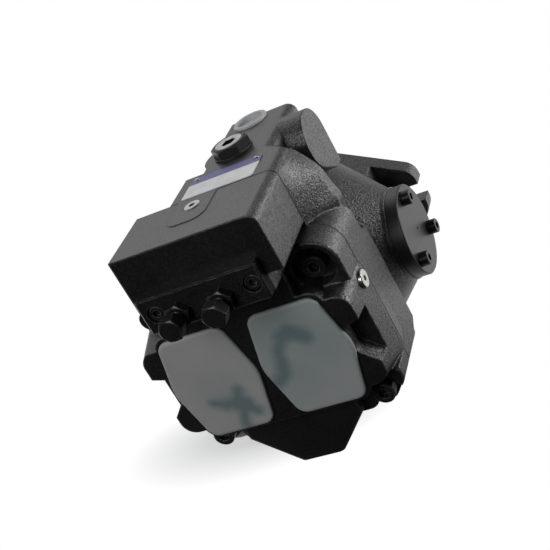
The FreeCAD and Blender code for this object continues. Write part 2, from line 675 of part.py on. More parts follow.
def port_pad():
    """Raised machined face of both ports, on rails that are notched at each side."""
    rails = side_rails(PAD_HALF_X, PAD_HALF_Z, PAD_Y, RAIL_HALF_X, RAIL_HALF_Z, BLOCK_FACE_Y)
    core = rounded(PAD_CORE_HALF_X, PAD_CORE_HALF_Z, PAD_CORNER_R, PAD_Y, BLOCK_FACE_Y)
    floor_x = PAD_HALF_X - NOTCH_DEPTH_X
    notch = prism_xz([(RAIL_HALF_X, NOTCH_TOP_Z), (PAD_HALF_X, NOTCH_TOP_Z), (floor_x, NOTCH_FLOOR_TOP_Z),
                      (floor_x, NOTCH_FLOOR_LOW_Z), (PAD_HALF_X, NOTCH_LOW_Z), (RAIL_HALF_X, NOTCH_LOW_Z)],
                     PAD_Y - 1, PAD_Y + NOTCH_LEN)
    notch = notch.makeFillet(NOTCH_FLOOR_R, edges_along(notch, V(0, 1, 0), lambda c: c.x < floor_x + 1))
    return fuse(rails, core).cut([notch, mirror_x(notch)])


def bolt_lugs():
    """Thin rim with a cone under each left bolt, and deep lugs with pockets round the right ones."""
    outline = collar_outline(BOLT_HEAD_Y, BLOCK_FACE_Y)
    rim = collar_outline(BLOCK_FACE_Y - FLANGE_RIM, BLOCK_FACE_Y)
    middle = outline.common(box(-MIDDLE_HALF_X, MIDDLE_HALF_X, BOLT_SEAT_Y, BLOCK_FACE_Y, -COLLAR_HALF_Z,
                                COLLAR_HALF_Z))
    middle = middle.makeFillet(MIDDLE_CORNER_R, edges_along(middle, V(0, 1, 0), lambda c: c.z < 0))
    rim_y = BLOCK_FACE_Y - FLANGE_RIM
    cone = turning([(0, BLOCK_FACE_Y), (CORNER_R, BLOCK_FACE_Y), (CORNER_R, rim_y),
                    (LUG_TOP_R, BOLT_SEAT_Y),
                    (0, BOLT_SEAT_Y)])
    cones = [moved(cone, x, 0, z).common(outline) for x, z in four_corners(BOLT_X, BOLT_Z)]
    upper = pocket_lug(outline, LUG_INNER_X, LUG_INNER_Z, COLLAR_HALF_Z, BOLT_Z)
    lower = pocket_lug(outline, BOLT_X, -LUG_LOW_Z, -LUG_INNER_Z, -BOLT_Z)
    return fuse(rim, middle, upper, lower, *cones)


def pocket_lug(outline, x0, z0, z1, bolt_z):
    """Deep part of a right lug, as high as the bolt's head, with the pocket round the head."""
    lug = outline.common(box(x0, COLLAR_HALF_X, BOLT_HEAD_Y, BLOCK_FACE_Y, z0, z1))
    lug = lug.makeFillet(LUG_EDGE_R, [e for e in lug.Edges if abs(e.CenterOfMass.y - BOLT_HEAD_Y) < 1e-6])
    return lug.cut(cyl_y(POCKET_R, BOLT_HEAD_Y - 1, BOLT_SEAT_Y, BOLT_X, bolt_z))


def port_block():
    foot = cast_foot(SLAB_FRONT_Y - FOOT_RISE, BLOCK_FACE_Y, FOOT_EDGE_R)
    body = fuse(bolt_lugs(), port_pad(), compensator_head(), foot)
    ports = []
    for side in (-1, 1):
        x = side * PORT_X
        ports.append(cyl_y(PORT_R, PAD_Y - 1, PAD_Y + PORT_DEPTH, x, 0))
        passage = kidney(PAD_Y + PORT_DEPTH - 4, BLOCK_FACE_Y + 1, KIDNEY_HALF_W, PORT_SWEEP)
        ports.append(passage if side > 0 else mirror_x(passage))
        ports += [cyl_y(PORT_BOLT_R, PAD_Y - 1, PAD_Y + PORT_BOLT_DEPTH, x + dx, dz)
                  for dx, dz in four_corners(PORT_BOLT_HALF_X, PORT_BOLT_HALF_Z)]
    seats = []
    for x, z in four_corners(BOLT_X, BOLT_Z):
        seats.append(cyl_y(BOLT_SPOT_R, PAD_Y - 1, BOLT_SEAT_Y, x, z))
        seats.append(cyl_y(BOLT_R + HOLE_SLACK, BOLT_SEAT_Y - 1, BLOCK_FACE_Y + 1, x, z))
    chambers = []
    for x in ADJ_X:
        chambers.append(cyl_y(CHAMBER_R, BLOCK_FRONT_Y - 1, BLOCK_FRONT_Y + CHAMBER_DEPTH, x, ADJ_Z))
        chambers.append(cyl_y(SPOOL_R + FILM, BLOCK_FRONT_Y, BLOCK_FACE_Y - 3, x, ADJ_Z))
    screw_end = BAR_FRONT_Y + BAR_BORE_DEPTH + BAR_SCREW_LEN + BAR_SCREW_SPARE
    screws = [cyl_y(BAR_SCREW_R, BLOCK_FRONT_Y - 1, screw_end, x, BAR_SCREW_Z) for x in BAR_SCREW_X]
    rear_pocket = cyl_y(REAR_BRG_R, BLOCK_FACE_Y - REAR_BRG_W - 3, BLOCK_FACE_Y + 1)
    control_feed = cyl_y(3, BLOCK_FACE_Y - 8, BLOCK_FACE_Y + 1, CONTROL_X, CONTROL_Z)
    cross_feed = cyl_z(2.5, ADJ_Z, CONTROL_Z, CONTROL_X, BLOCK_FACE_Y - 8)
    top_plug_hole = cyl_z(TOP_PLUG_R, TOP_Z - 10, TOP_Z + 2, TOP_PLUG_X, TOP_PLUG_Y)
    side_plug_floor = COLLAR_HALF_X - SIDE_PLUG_DEPTH
    side_plug_hole = cyl_x(SIDE_PLUG_R, side_plug_floor, RAIL_HALF_X + 1, SIDE_PLUG_Y, SIDE_PLUG_Z)
    return body.cut([*ports, *seats, *chambers, *screws, rear_pocket, control_feed, cross_feed,
                     top_plug_hole,
                     side_plug_hole]).removeSplitter()


def cover_gasket():
    sheet = fuse(collar_outline(BLOCK_FACE_Y, SEAM_Y),
                 rounded(RAIL_HALF_X, RAIL_HALF_Z, PAD_CORNER_R, BLOCK_FACE_Y, SEAM_Y))
    head = box(TOP_LEFT_X + 1, TOP_RIGHT_X - 1, BLOCK_FACE_Y, SEAM_Y, COLLAR_HALF_Z - CORNER_R,
               TOP_Z - GASKET_DROP)
    sheet = fuse(sheet, head)
    holes = [cyl_y(BOLT_R + HOLE_SLACK, BLOCK_FACE_Y - 1, SEAM_Y + 1, x, z)
             for x, z in four_corners(BOLT_X, BOLT_Z)]
    bore = cyl_y(CAVITY_R, BLOCK_FACE_Y - 1, SEAM_Y + 1)
    feed = cyl_y(CONTROL_R, BLOCK_FACE_Y - 1, SEAM_Y + 1, CONTROL_X, CONTROL_Z)
    bias = cyl_y(BIAS_BORE_R, BLOCK_FACE_Y - 1, SEAM_Y + 1, 0, BIAS_Z)
    return sheet.cut([bore, feed, bias, *holes])


def cover_bolts():
    length = SEAM_Y - BOLT_SEAT_Y + BOLT_GRIP_IN_HOUSING
    bolt = socket_screw(BOLT_R, BOLT_HEAD_R, BOLT_HEAD_H, length)
    return Part.makeCompound([moved(bolt, x, BOLT_SEAT_Y, z) for x, z in four_corners(BOLT_X, BOLT_Z)])


def adjuster_bar():
    bar = box(BAR_LEFT_X, BAR_RIGHT_X, BAR_FRONT_Y, BLOCK_FRONT_Y, BAR_BOTTOM_Z, BAR_TOP_Z)
    front = [e for e in bar.Edges if abs(e.CenterOfMass.y - BAR_FRONT_Y) < 1e-6]
    ends = [e for e in edges_along(bar, V(0, 1, 0))]
    bar = bar.makeChamfer(1.2, front + ends)
    holes = [cyl_y(ADJ_R + FILM, BAR_FRONT_Y - 1, BLOCK_FRONT_Y + 1, x, ADJ_Z) for x in ADJ_X]
    for x in BAR_SCREW_X:
        holes.append(cyl_y(BAR_BORE_R, BAR_FRONT_Y - 1, BAR_FRONT_Y + BAR_BORE_DEPTH, x, BAR_SCREW_Z))
        holes.append(cyl_y(BAR_SCREW_R + HOLE_SLACK, BAR_FRONT_Y, BLOCK_FRONT_Y + 1, x, BAR_SCREW_Z))
    return bar.cut(holes)


def bar_screws():
    seat = BAR_FRONT_Y + BAR_BORE_DEPTH
    screw = socket_screw(BAR_SCREW_R, BAR_SCREW_HEAD_R, BAR_SCREW_HEAD_H, BAR_SCREW_LEN)
    return Part.makeCompound([moved(screw, x, seat, BAR_SCREW_Z) for x in BAR_SCREW_X])


def lock_nuts():
    nuts = []
    for x in ADJ_X:
        y0 = BAR_FRONT_Y - ADJ_NUT_H
        nut = hexagon_y(ADJ_NUT_AF, y0, BAR_FRONT_Y, x, ADJ_Z, ADJ_NUT_TURN)
        round_off = turning([(0, y0), (ADJ_NUT_AF / 2 - 0.5, y0), (ADJ_NUT_AF / 2 + 1.6, y0 + 1.4),
                             (ADJ_NUT_AF / 2 + 1.6, BAR_FRONT_Y), (0, BAR_FRONT_Y)], x, ADJ_Z)
        nuts.append(nut.common(round_off).cut(cyl_y(ADJ_R + FILM, y0 - 1, BAR_FRONT_Y + 1, x, ADJ_Z)))
    return Part.makeCompound(nuts)


def adjusting_screw(x):
    """Hex-headed adjusting screw through the bar, with its tip on the spring seat."""
    head_y = BAR_FRONT_Y - ADJ_REACH
    neck_y = head_y + ADJ_HEAD_LEN
    tip_y = seat_rest_y()
    shank = turning([(0, neck_y - 1), (ADJ_R, neck_y - 1), (ADJ_R, tip_y - 1.5), (ADJ_R - 1.5, tip_y),
                     (0, tip_y)],
                    x, ADJ_Z)
    head = hexagon_y(ADJ_HEAD_AF, head_y, neck_y, x, ADJ_Z)
    across = ADJ_HEAD_AF / 2
    round_off = turning([(0, head_y), (across - 0.6, head_y), (across + 2, head_y + 1.5),
                         (across + 2, neck_y - 1.5),
                         (across - 0.6, neck_y), (0, neck_y)], x, ADJ_Z)
    return fuse(head.common(round_off), shank)


def seat_rest_y():
    return BLOCK_FRONT_Y + 4.0


def spring_seat(x):
    y0 = seat_rest_y()
    return turning([(0, y0), (CHAMBER_R - 0.3, y0), (CHAMBER_R - 0.3, y0 + SEAT_THK - 1),
                    (4, y0 + SEAT_THK - 1),
                    (3.5, y0 + SEAT_THK + 3), (0, y0 + SEAT_THK + 3)], x, ADJ_Z)


def spool_front_y():
    return BLOCK_FRONT_Y + CHAMBER_DEPTH - SPOOL_TRAVEL - 4.0


def compensator_spring(x):
    return coil(x, ADJ_Z, COMP_SPRING_R, 1.6, seat_rest_y() + SEAT_THK - 1, spool_front_y(), 6)


def coil(x, z, r_out, wire, y0, y1, turns):
    """Closed zigzag sleeve with the outline of a coil spring."""
    step = (y1 - y0) / turns
    outer = []
    inner = []
    for i in range(turns):
        y = y0 + i * step
        outer += [(r_out - wire * 0.35, y), (r_out, y + step / 2)]
        inner += [(r_out - wire * 1.35, y), (r_out - wire, y + step / 2)]
    outer.append((r_out - wire * 0.35, y1))
    inner.append((r_out - wire * 1.35, y1))
    return turning(outer + inner[::-1], x, z)


def compensator_spool(x):
    """Three-land spool with a head that the spring bears on."""
    y0 = spool_front_y()
    y1 = y0 + SPOOL_LEN
    neck = SPOOL_R - 2.2
    land = SPOOL_LEN / 7
    profile = [(0, y0), (CHAMBER_R - 0.6, y0), (CHAMBER_R - 0.6, y0 + 3), (neck, y0 + 3),
               (neck, y0 + 4 + SPOOL_TRAVEL), (SPOOL_R, y0 + 4 + SPOOL_TRAVEL), (SPOOL_R, y0 + 2.6 * land),
               (neck, y0 + 2.6 * land), (neck, y0 + 3.6 * land), (SPOOL_R, y0 + 3.6 * land),
               (SPOOL_R, y0 + 4.6 * land),
               (neck, y0 + 4.6 * land), (neck, y0 + 5.6 * land), (SPOOL_R, y0 + 5.6 * land), (SPOOL_R, y1),
               (0, y1)]
    return turning(profile, x, ADJ_Z)


def trunnion_cover():
    """Round cover with a spigot in the trunnion bore and three screws."""
    x0 = TRUNNION_FACE_X
    plate = cyl_x(COVER_R, x0, x0 + COVER_THK, TRUNNION_Y, 0)
    rim = [e for e in plate.Edges if abs(e.CenterOfMass.x - x0 - COVER_THK) < 1e-6]
    plate = plate.makeChamfer(1.0, rim)
    spigot = cyl_x(BUSH_R - FILM, x0 - COVER_SPIGOT_LEN, x0 + 1, TRUNNION_Y, 0)
    groove = cyl_x(BUSH_R + 1, x0 - 8, x0 - 4.5, TRUNNION_Y, 0)
    groove = groove.cut(cyl_x(BUSH_R - 2.6, x0 - 9, x0, TRUNNION_Y, 0))
    holes = []
    for a in (90, 210, 330):
        y = TRUNNION_Y + COVER_SCREW_PCR * cos(radians(a))
        z = COVER_SCREW_PCR * sin(radians(a))
        holes.append(cyl_x(COVER_SCREW_R + HOLE_SLACK, x0 - 1, x0 + COVER_THK + 1, y, z))
    dimple = Part.makeCone(0, 2.2, 2.2, V(x0 + COVER_THK - 2, TRUNNION_Y, 0), V(1, 0, 0))
    return fuse(plate, spigot).cut([groove, dimple, *holes])


def cover_oring():
    ring = Part.makeTorus(BUSH_R - 1.32, 1.27, V(TRUNNION_FACE_X - 6.25, TRUNNION_Y, 0), V(1, 0, 0))
    return ring


def cover_screws():
    screw = turned(socket_screw(COVER_SCREW_R, COVER_HEAD_R, COVER_HEAD_H, COVER_SCREW_LEN), 90, V(0, 0, 1))
    screws = []
    for a in (90, 210, 330):
        y = TRUNNION_Y + COVER_SCREW_PCR * cos(radians(a))
        z = COVER_SCREW_PCR * sin(radians(a))
        screws.append(moved(screw, TRUNNION_FACE_X + COVER_THK, y, z))
    right = Part.makeCompound(screws)
    return Part.makeCompound([*right.Solids, *mirror_x(right).Solids])


def trunnion_bushes():
    x1 = TRUNNION_FACE_X - COVER_SPIGOT_LEN - 1
    bush = cyl_x(BUSH_R, x1 - BUSH_LEN, x1, TRUNNION_Y, 0)
    bush = bush.cut(cyl_x(JOURNAL_R + FILM, 0, x1 + 1, TRUNNION_Y, 0))
    return Part.makeCompound([bush, mirror_x(bush)])


def yoke():
    """Tilting plate on two trunnions, with an arm up to the control piston and an ear for the bias spring."""
    plate = turning([(YOKE_BORE_R, YOKE_FACE_Y), (YOKE_R, YOKE_FACE_Y),
                     (YOKE_R, YOKE_FACE_Y + YOKE_THK - 6),
                     (YOKE_R - 8, YOKE_FACE_Y + YOKE_THK), (YOKE_BORE_R + 4, YOKE_FACE_Y + YOKE_THK),
                     (YOKE_BORE_R, YOKE_FACE_Y + YOKE_THK - 4)])
    cheek = box(CHEEK_X, CHEEK_END_X, TRUNNION_Y - CHEEK_HALF_Z, YOKE_FACE_Y + YOKE_THK - 5, -CHEEK_HALF_Z,
                CHEEK_HALF_Z)
    cheek = cheek.makeFillet(CHEEK_HALF_Z * 0.6, edges_along(cheek, V(1, 0, 0), lambda c: c.y < TRUNNION_Y))
    journal_end = TRUNNION_FACE_X - COVER_SPIGOT_LEN - 2
    journal = cyl_x(JOURNAL_R, CHEEK_END_X - 1, journal_end, TRUNNION_Y, 0)
    left = CONTROL_X - ARM_HALF_X
    right = CONTROL_X + ARM_HALF_X
    rear = YOKE_FACE_Y + YOKE_THK - 5
    arm = box(left, right, TRUNNION_Y - ARM_HALF_Y, TRUNNION_Y + ARM_HALF_Y, RETAINER_R + 3, ARM_TOP_Z)
    arm = arm.makeFillet(ARM_HALF_Y * 0.9, edges_along(arm, V(1, 0, 0), lambda c: c.z > YOKE_R))
    arm_foot = box(left, right, TRUNNION_Y, rear, RETAINER_R + 3, ARM_FOOT_Z)
    arm_root = box(left, right, YOKE_FACE_Y, rear, YOKE_R * 0.6, ARM_FOOT_Z)
    ear = box(-EAR_HALF_X, EAR_HALF_X, YOKE_FACE_Y, rear, EAR_BOTTOM_Z, -YOKE_R * 0.8)
    return fuse(plate, cheek, mirror_x(cheek), journal, mirror_x(journal), arm, arm_foot, arm_root, ear)


def wear_plate():
    return turning([(WEAR_BORE_R, WEAR_FACE_Y), (BLOCK_R, WEAR_FACE_Y), (BLOCK_R, YOKE_FACE_Y),
                    (WEAR_BORE_R, YOKE_FACE_Y)])


def control_piston():
    """Hollow piston whose rod pushes the yoke arm."""
    tip_y = TRUNNION_Y - ARM_HALF_Y
    y1 = -ARM_ROOM_BACK
    y0 = y1 - CONTROL_LEN
    return turning([(CONTROL_R - 4, y0), (CONTROL_R, y0), (CONTROL_R, y1), (CONTROL_ROD_R, y1 + 4),
                    (CONTROL_ROD_R, tip_y - 3), (CONTROL_ROD_R - 3, tip_y), (0, tip_y), (0, y1 - 8),
                    (CONTROL_R - 4, y1 - 8)],
                   CONTROL_X, CONTROL_Z)


def bias_plunger():
    """Guided plunger that pushes the yoke towards full stroke."""
    tip_y = YOKE_FACE_Y
    head_y = -BLOCK_FRONT - 6
    return turning([(0, head_y - BIAS_HEAD_LEN), (BIAS_HEAD_R, head_y - BIAS_HEAD_LEN),
                    (BIAS_HEAD_R, head_y),
                    (BIAS_ROD_R, head_y + 3), (BIAS_ROD_R, tip_y - 2), (BIAS_ROD_R - 2, tip_y), (0, tip_y)],
                    0, BIAS_Z)


def bias_spring():
    head_y = -BLOCK_FRONT - 6 - BIAS_HEAD_LEN
    return coil(0, BIAS_Z, BIAS_SPRING_R, 2.0, BLOCK_FACE_Y, head_y, 10)


def drive_shaft():
    """Stepped shaft with a keyed end; the splined length runs as its outer circle."""
    tail_y = -SHAFT_TAIL_BACK
    profile = [(0, tail_y), (SHAFT_TAIL_R - 1, tail_y), (SHAFT_TAIL_R, tail_y + 1),
               (SHAFT_TAIL_R, BLOCK_FACE_Y + VALVE_THK - 2), (SHAFT_SPLINE_R, BLOCK_FACE_Y + VALVE_THK + 2),
               (SHAFT_SPLINE_R, FRONT_BRG_Y0 - 8), (SHAFT_JOURNAL_R + 3, FRONT_BRG_Y0 - 8),
               (SHAFT_JOURNAL_R + 3, FRONT_BRG_Y0), (SHAFT_JOURNAL_R, FRONT_BRG_Y0),
               (SHAFT_JOURNAL_R, FRONT_BRG_Y0 + FRONT_BRG_W + 1),
               (SHAFT_SEAL_R, FRONT_BRG_Y0 + FRONT_BRG_W + 2),
               (SHAFT_SEAL_R, PILOT_LEN - 3), (SHAFT_END_R, PILOT_LEN - 1), (SHAFT_END_R, SHAFT_END_Y - 2),
               (SHAFT_END_R - 2, SHAFT_END_Y), (0, SHAFT_END_Y)]
    return turning(profile).cut(key_block(0.0))


def key_block(slack):
    y1 = SHAFT_END_Y - KEY_END_GAP
    return box(-KEY_W / 2 - slack, KEY_W / 2 + slack, y1 - KEY_LEN, y1, SHAFT_END_R - KEY_W / 2,
               SHAFT_END_R + KEY_W / 2)


def cylinder_barrel():
    """Drum with nine piston bores, each opening to the valve plate by a port."""
    back = BLOCK_FACE_Y + VALVE_THK + FILM
    front = -BLOCK_FRONT
    floor = front - BARREL_SPRING_LEN
    drum = turning([(SHAFT_SPLINE_R, back), (BLOCK_R - 2, back), (BLOCK_R, back + 4), (BLOCK_R, front - 1),
                    (BLOCK_R - 1, front), (GUIDE_R - 1, front), (GUIDE_R - 1, floor),
                    (SHAFT_SPLINE_R, floor)])
    bores = []
    for i in range(PISTONS):
        angle = 360.0 * i / PISTONS
        bore = cyl_y(PISTON_R + FILM, front - BORE_DEPTH, front + 1, PITCH_R, 0)
        port = cyl_y(KIDNEY_HALF_W, back - 1, front - BORE_DEPTH + 1, PITCH_R, 0)
        bores += [turned(bore, angle), turned(port, angle)]
    return drum.cut(bores)


def pistons():
    """Pistons at mid stroke, ball end in the slipper, hollow from the rear."""
    ball_y = TRUNNION_Y
    neck_y = ball_y - sqrt(PISTON_BALL_R ** 2 - PISTON_NECK_R ** 2)
    shoulder = neck_y - 6
    rear = shoulder - PISTON_LEN
    ball = Part.makeSphere(PISTON_BALL_R, V(PITCH_R, ball_y, 0))
    body = turning([(0, neck_y + 2), (PISTON_NECK_R, neck_y + 2), (PISTON_NECK_R, shoulder + 3),
                    (PISTON_R, shoulder),
                    (PISTON_R, rear), (PISTON_HOLLOW_R, rear), (PISTON_HOLLOW_R, shoulder - PISTON_END_THK),
                    (0, shoulder - PISTON_END_THK)],
                   PITCH_R, 0)
    piston = fuse(body, ball)
    return Part.makeCompound([turned(piston, 360.0 * i / PISTONS) for i in range(PISTONS)])


def slippers():
    face = WEAR_FACE_Y - FILM
    back = face - SLIPPER_H
    slipper = turning([(0, face), (SLIPPER_R, face), (SLIPPER_R, face - SLIPPER_BASE),
                       (SLIPPER_HUB_R, face - SLIPPER_BASE),
                       (SLIPPER_HUB_R, back), (PISTON_NECK_R + 1.2, back), (PISTON_NECK_R + 1.2, back + 1),
                       (0, back + 1)], PITCH_R, 0)
    socket = Part.makeSphere(PISTON_BALL_R + FILM, V(PITCH_R, TRUNNION_Y, 0))
    mouth = cyl_y(PISTON_NECK_R + 1.2, back - 1, TRUNNION_Y, PITCH_R, 0)
    slipper = slipper.cut([socket, mouth])
    return Part.makeCompound([turned(slipper, 360.0 * i / PISTONS) for i in range(PISTONS)])


def slipper_retainer():
    y1 = WEAR_FACE_Y - FILM - SLIPPER_BASE
    plate = cyl_y(RETAINER_R, y1 - RETAINER_THK, y1)
    plate = plate.cut(cyl_y(retainer_bore(), y1 - RETAINER_THK - 1, y1 + 1))
    holes = [turned(cyl_y(SLIPPER_HUB_R + 0.3, y1 - RETAINER_THK - 1, y1 + 1, PITCH_R, 0),
                    360.0 * i / PISTONS)
             for i in range(PISTONS)]
    return plate.cut(holes)


def retainer_bore():
    return GUIDE_R + 0.2


def ball_guide():
    """Domed guide on the shaft that carries the retainer plate."""
    ball = Part.makeSphere(GUIDE_R, V(0, TRUNNION_Y, 0))
    trim = cyl_y(GUIDE_R + 1, -BLOCK_FRONT + 1, WEAR_FACE_Y - 1)
    bore = cyl_y(SHAFT_SPLINE_R, -BLOCK_FRONT, WEAR_FACE_Y)
    return ball.common(trim).cut(bore)


def barrel_spring():
    return coil(0, 0, GUIDE_R - 1.4, 2.0, -BLOCK_FRONT - BARREL_SPRING_LEN, -BLOCK_FRONT + 1, 7)


def valve_plate():
    y0 = BLOCK_FACE_Y
    disc = cyl_y(VALVE_R, y0, y0 + VALVE_THK).cut(cyl_y(SHAFT_TAIL_R + 3, y0 - 1, y0 + VALVE_THK + 1))
    slot = kidney(y0 - 1, y0 + VALVE_THK + 1, KIDNEY_HALF_W, PLATE_SWEEP)
    pin = cyl_y(2.5, y0 - 1, y0 + VALVE_THK - 2, 0, VALVE_R - 6)
    return disc.cut([slot, mirror_x(slot), pin])


def valve_plate_pin():
    return cyl_y(2.5, BLOCK_FACE_Y, BLOCK_FACE_Y + VALVE_THK - 2, 0, VALVE_R - 6)


def cup_r(y):
    """Race radius of the front bearing's cup at a station along the shaft."""
    return FRONT_BRG_R - CUP_WALL - CUP_TAPER * (y - FRONT_BRG_Y0) / FRONT_BRG_W


def cone_r(y):
    return cup_r(y) - ROLLER_D


def front_bearing_cup():
    y0 = FRONT_BRG_Y0
    return turning([(FRONT_BRG_R, y0), (FRONT_BRG_R, y0 + FRONT_BRG_W),
                    (cup_r(y0 + FRONT_BRG_W), y0 + FRONT_BRG_W),
                    (cup_r(y0), y0)])


def front_bearing_cone():
    y0 = FRONT_BRG_Y0
    y1 = y0 + FRONT_BRG_W - 1
    return turning([(SHAFT_JOURNAL_R, y0), (cone_r(y0), y0), (cone_r(y1), y1), (SHAFT_JOURNAL_R, y1)])


def front_bearing_rollers():
    """Caged tapered rollers, drawn as one ring between cup and cone."""
    y0 = FRONT_BRG_Y0 + 2
    y1 = FRONT_BRG_Y0 + FRONT_BRG_W - 3
    return turning([(cone_r(y0), y0), (cup_r(y0) - FILM, y0), (cup_r(y1) - FILM, y1), (cone_r(y1), y1)])


def rear_bearing_ring():
    y1 = BLOCK_FACE_Y - 1
    ring = cyl_y(REAR_BRG_R, y1 - REAR_BRG_W, y1)
    return ring.cut(cyl_y(REAR_BRG_R - REAR_RING_WALL, y1 - REAR_BRG_W - 1, y1 + 1))


def rear_bearing_rollers():
    y1 = BLOCK_FACE_Y - 3
    ring = cyl_y(REAR_BRG_R - REAR_RING_WALL - FILM, y1 - REAR_BRG_W + 4, y1)
    return ring.cut(cyl_y(SHAFT_TAIL_R, y1 - REAR_BRG_W, y1 + 1))


def shaft_seal():
    y1 = PILOT_LEN - SEAL_FRONT
    y0 = y1 - SEAL_THK
    return turning([(SEAL_R, y0), (SEAL_R, y1), (SHAFT_SEAL_R + 2, y1), (SHAFT_SEAL_R + FILM, y1 - 2),
                    (SHAFT_SEAL_R + FILM, y1 - 4), (SHAFT_SEAL_R + 4, y1 - 3), (SHAFT_SEAL_R + 4, y0 + 1),
                    (SHAFT_SEAL_R + 5, y0)])


def seal_ring():
    y0 = PILOT_LEN - SEAL_FRONT
    ring = cyl_y(SEAL_R, y0, y0 + 2).cut(cyl_y(SEAL_R - 4, y0 - 1, y0 + 3))
    return ring.cut(box(-3, 3, y0 - 1, y0 + 3, -SEAL_R - 1, -SEAL_R + 8))


def cap_outline(x, y0, y1):
    """Flange-shaped plate: corner arcs over the four bolts and long sides that widen to the waist."""
    cx, cz, r = PORT_BOLT_HALF_X, PORT_BOLT_HALF_Z, CAP_PLATE_R
    lean = radians(CAP_LEAN)
    half = (radians(90) + lean) / 2
    px = cx + r * cos(lean)
    pz = cz + r * sin(lean)
    tz = CAP_WAIST_R * sin(lean)
    tx = px + (pz - tz) * tan(lean)
    waist = tx + CAP_WAIST_R * (1 - cos(lean))
    edges = []
    for sx, sz in ((1, 1), (1, -1), (-1, -1), (-1, 1)):
        def point(dx, dz):
            return V(x + sx * dx, y0, sz * dz)
        edges += [Part.Arc(point(cx, cz + r), point(cx + r * cos(half), cz + r * sin(half)),
                           point(px, pz)).toShape(),
                  Part.LineSegment(point(px, pz), point(tx, tz)).toShape()]
    for sx in (1, -1):
        edges.append(Part.Arc(V(x + sx * tx, y0, tz), V(x + sx * waist, y0, 0),
                              V(x + sx * tx, y0, -tz)).toShape())
        edges.append(Part.LineSegment(V(x - cx, y0, sx * (cz + r)), V(x + cx, y0, sx * (cz + r))).toShape())
    wire = Part.Wire(Part.__sortEdges__(edges))
    return Part.Face(wire).extrude(V(0, y1 - y0, 0))


def port_cap(x):
    """Plastic shipping cap held by four pegs in the bolt holes."""
    plate = cap_outline(x, PAD_Y - CAP_THK, PAD_Y)
    rim = [e for e in plate.Edges if abs(e.CenterOfMass.y - PAD_Y + CAP_THK) < 1e-6]
    plate = plate.makeFillet(CAP_THK * 0.4, rim)
    pegs = [cyl_y(PORT_BOLT_R - CAP_SLACK, PAD_Y - 1, PAD_Y + CAP_PEG_LEN, x + dx, dz)
            for dx, dz in four_corners(PORT_BOLT_HALF_X, PORT_BOLT_HALF_Z)]
    return fuse(plate, *pegs)


def nameplate():
    y0 = SEAM_Y + PLATE_EDGE
    plate = box(PLATE_X0, PLATE_X1, y0, y0 + PLATE_LEN, TOP_Z, TOP_Z + PLATE_THK)
    plate = plate.makeFillet(1.5, edges_along(plate, V(0, 0, 1)))
    holes = [cyl_z(RIVET_R, TOP_Z - 1, TOP_Z + 2, x, y) for x, y in rivet_places()]
    return plate.cut(holes)


def rivet_places():
    y = SEAM_Y + PLATE_EDGE + PLATE_LEN - 3.5
    return [(PLATE_X0 + 5, y), (PLATE_X1 - 5, y)]


def plate_rivets():
    rivets = []
    for x, y in rivet_places():
        head = Part.makeSphere(RIVET_R + 0.8, V(x, y, TOP_Z + PLATE_THK - 1.4))
        head = head.common(cyl_z(RIVET_R + 1, TOP_Z + PLATE_THK, TOP_Z + 6, x, y))
        rivets.append(fuse(head, cyl_z(RIVET_R, TOP_Z, TOP_Z + PLATE_THK, x, y)))
    return Part.makeCompound(rivets)


def fill_plug():
    z0 = TOP_Z + WASHER_THK
    z1 = z0 + FILL_HEX_H
    across = FILL_HEX_AF / 2
    body = hexagon_z(FILL_HEX_AF, z0, z1, FILL_X, FILL_Y, FILL_HEX_TURN)
    bevel_low = V(FILL_X, FILL_Y, z1 - FILL_HEX_BEVEL_DROP)
    bevel_top_r = across - 0.5
    cone = Part.makeCone(bevel_top_r + FILL_HEX_BEVEL_RUN, bevel_top_r, FILL_HEX_BEVEL_DROP, bevel_low,
                         V(0, 0, 1))
    stem = cyl_z(FILL_THREAD_R, ARM_ROOM_ROOF_Z + 1, z0 + 1, FILL_X, FILL_Y)
    socket = hexagon_z(FILL_KEY_AF, z1 - FILL_KEY_DEPTH, z1 + 1, FILL_X, FILL_Y, FILL_HEX_TURN)
    return fuse(body.common(cone), stem).cut(socket)


def fill_washer():
    ring = cyl_z(WASHER_R, TOP_Z, TOP_Z + WASHER_THK, FILL_X, FILL_Y)
    return ring.cut(cyl_z(FILL_THREAD_R, TOP_Z - 1, TOP_Z + 3, FILL_X, FILL_Y))


def drain_cap():
    """Plastic shipping cap on the drain: a flanged cup that sits in the sink above the thread."""
    flange = cyl_z(DRAIN_CAP_R, TOP_Z, TOP_Z + DRAIN_CAP_THK, DRAIN_X, DRAIN_Y)
    rim = [e for e in flange.Edges if abs(e.CenterOfMass.z - TOP_Z - DRAIN_CAP_THK) < 1e-6]
    flange = flange.makeFillet(DRAIN_CAP_THK * 0.4, rim)
    stem = cyl_z(DRAIN_SINK_R - CAP_SLACK, TOP_Z - DRAIN_SINK_DEPTH + CAP_SLACK, TOP_Z + 1, DRAIN_X,
                 DRAIN_Y)
    dish = cyl_z(DRAIN_SINK_R - CAP_SLACK - 2, TOP_Z - 1.5, TOP_Z + DRAIN_CAP_THK + 1, DRAIN_X, DRAIN_Y)
    return fuse(flange, stem).cut(dish)


def top_plug():
    disc = cyl_z(TOP_PLUG_R, TOP_Z - 9, TOP_Z + 1.2, TOP_PLUG_X, TOP_PLUG_Y)
    rim = [e for e in disc.Edges if abs(e.CenterOfMass.z - TOP_Z - 1.2) < 1e-6]
    return disc.makeChamfer(0.8, rim).cut(hexagon_z(5, TOP_Z - 3, TOP_Z + 2, TOP_PLUG_X, TOP_PLUG_Y))


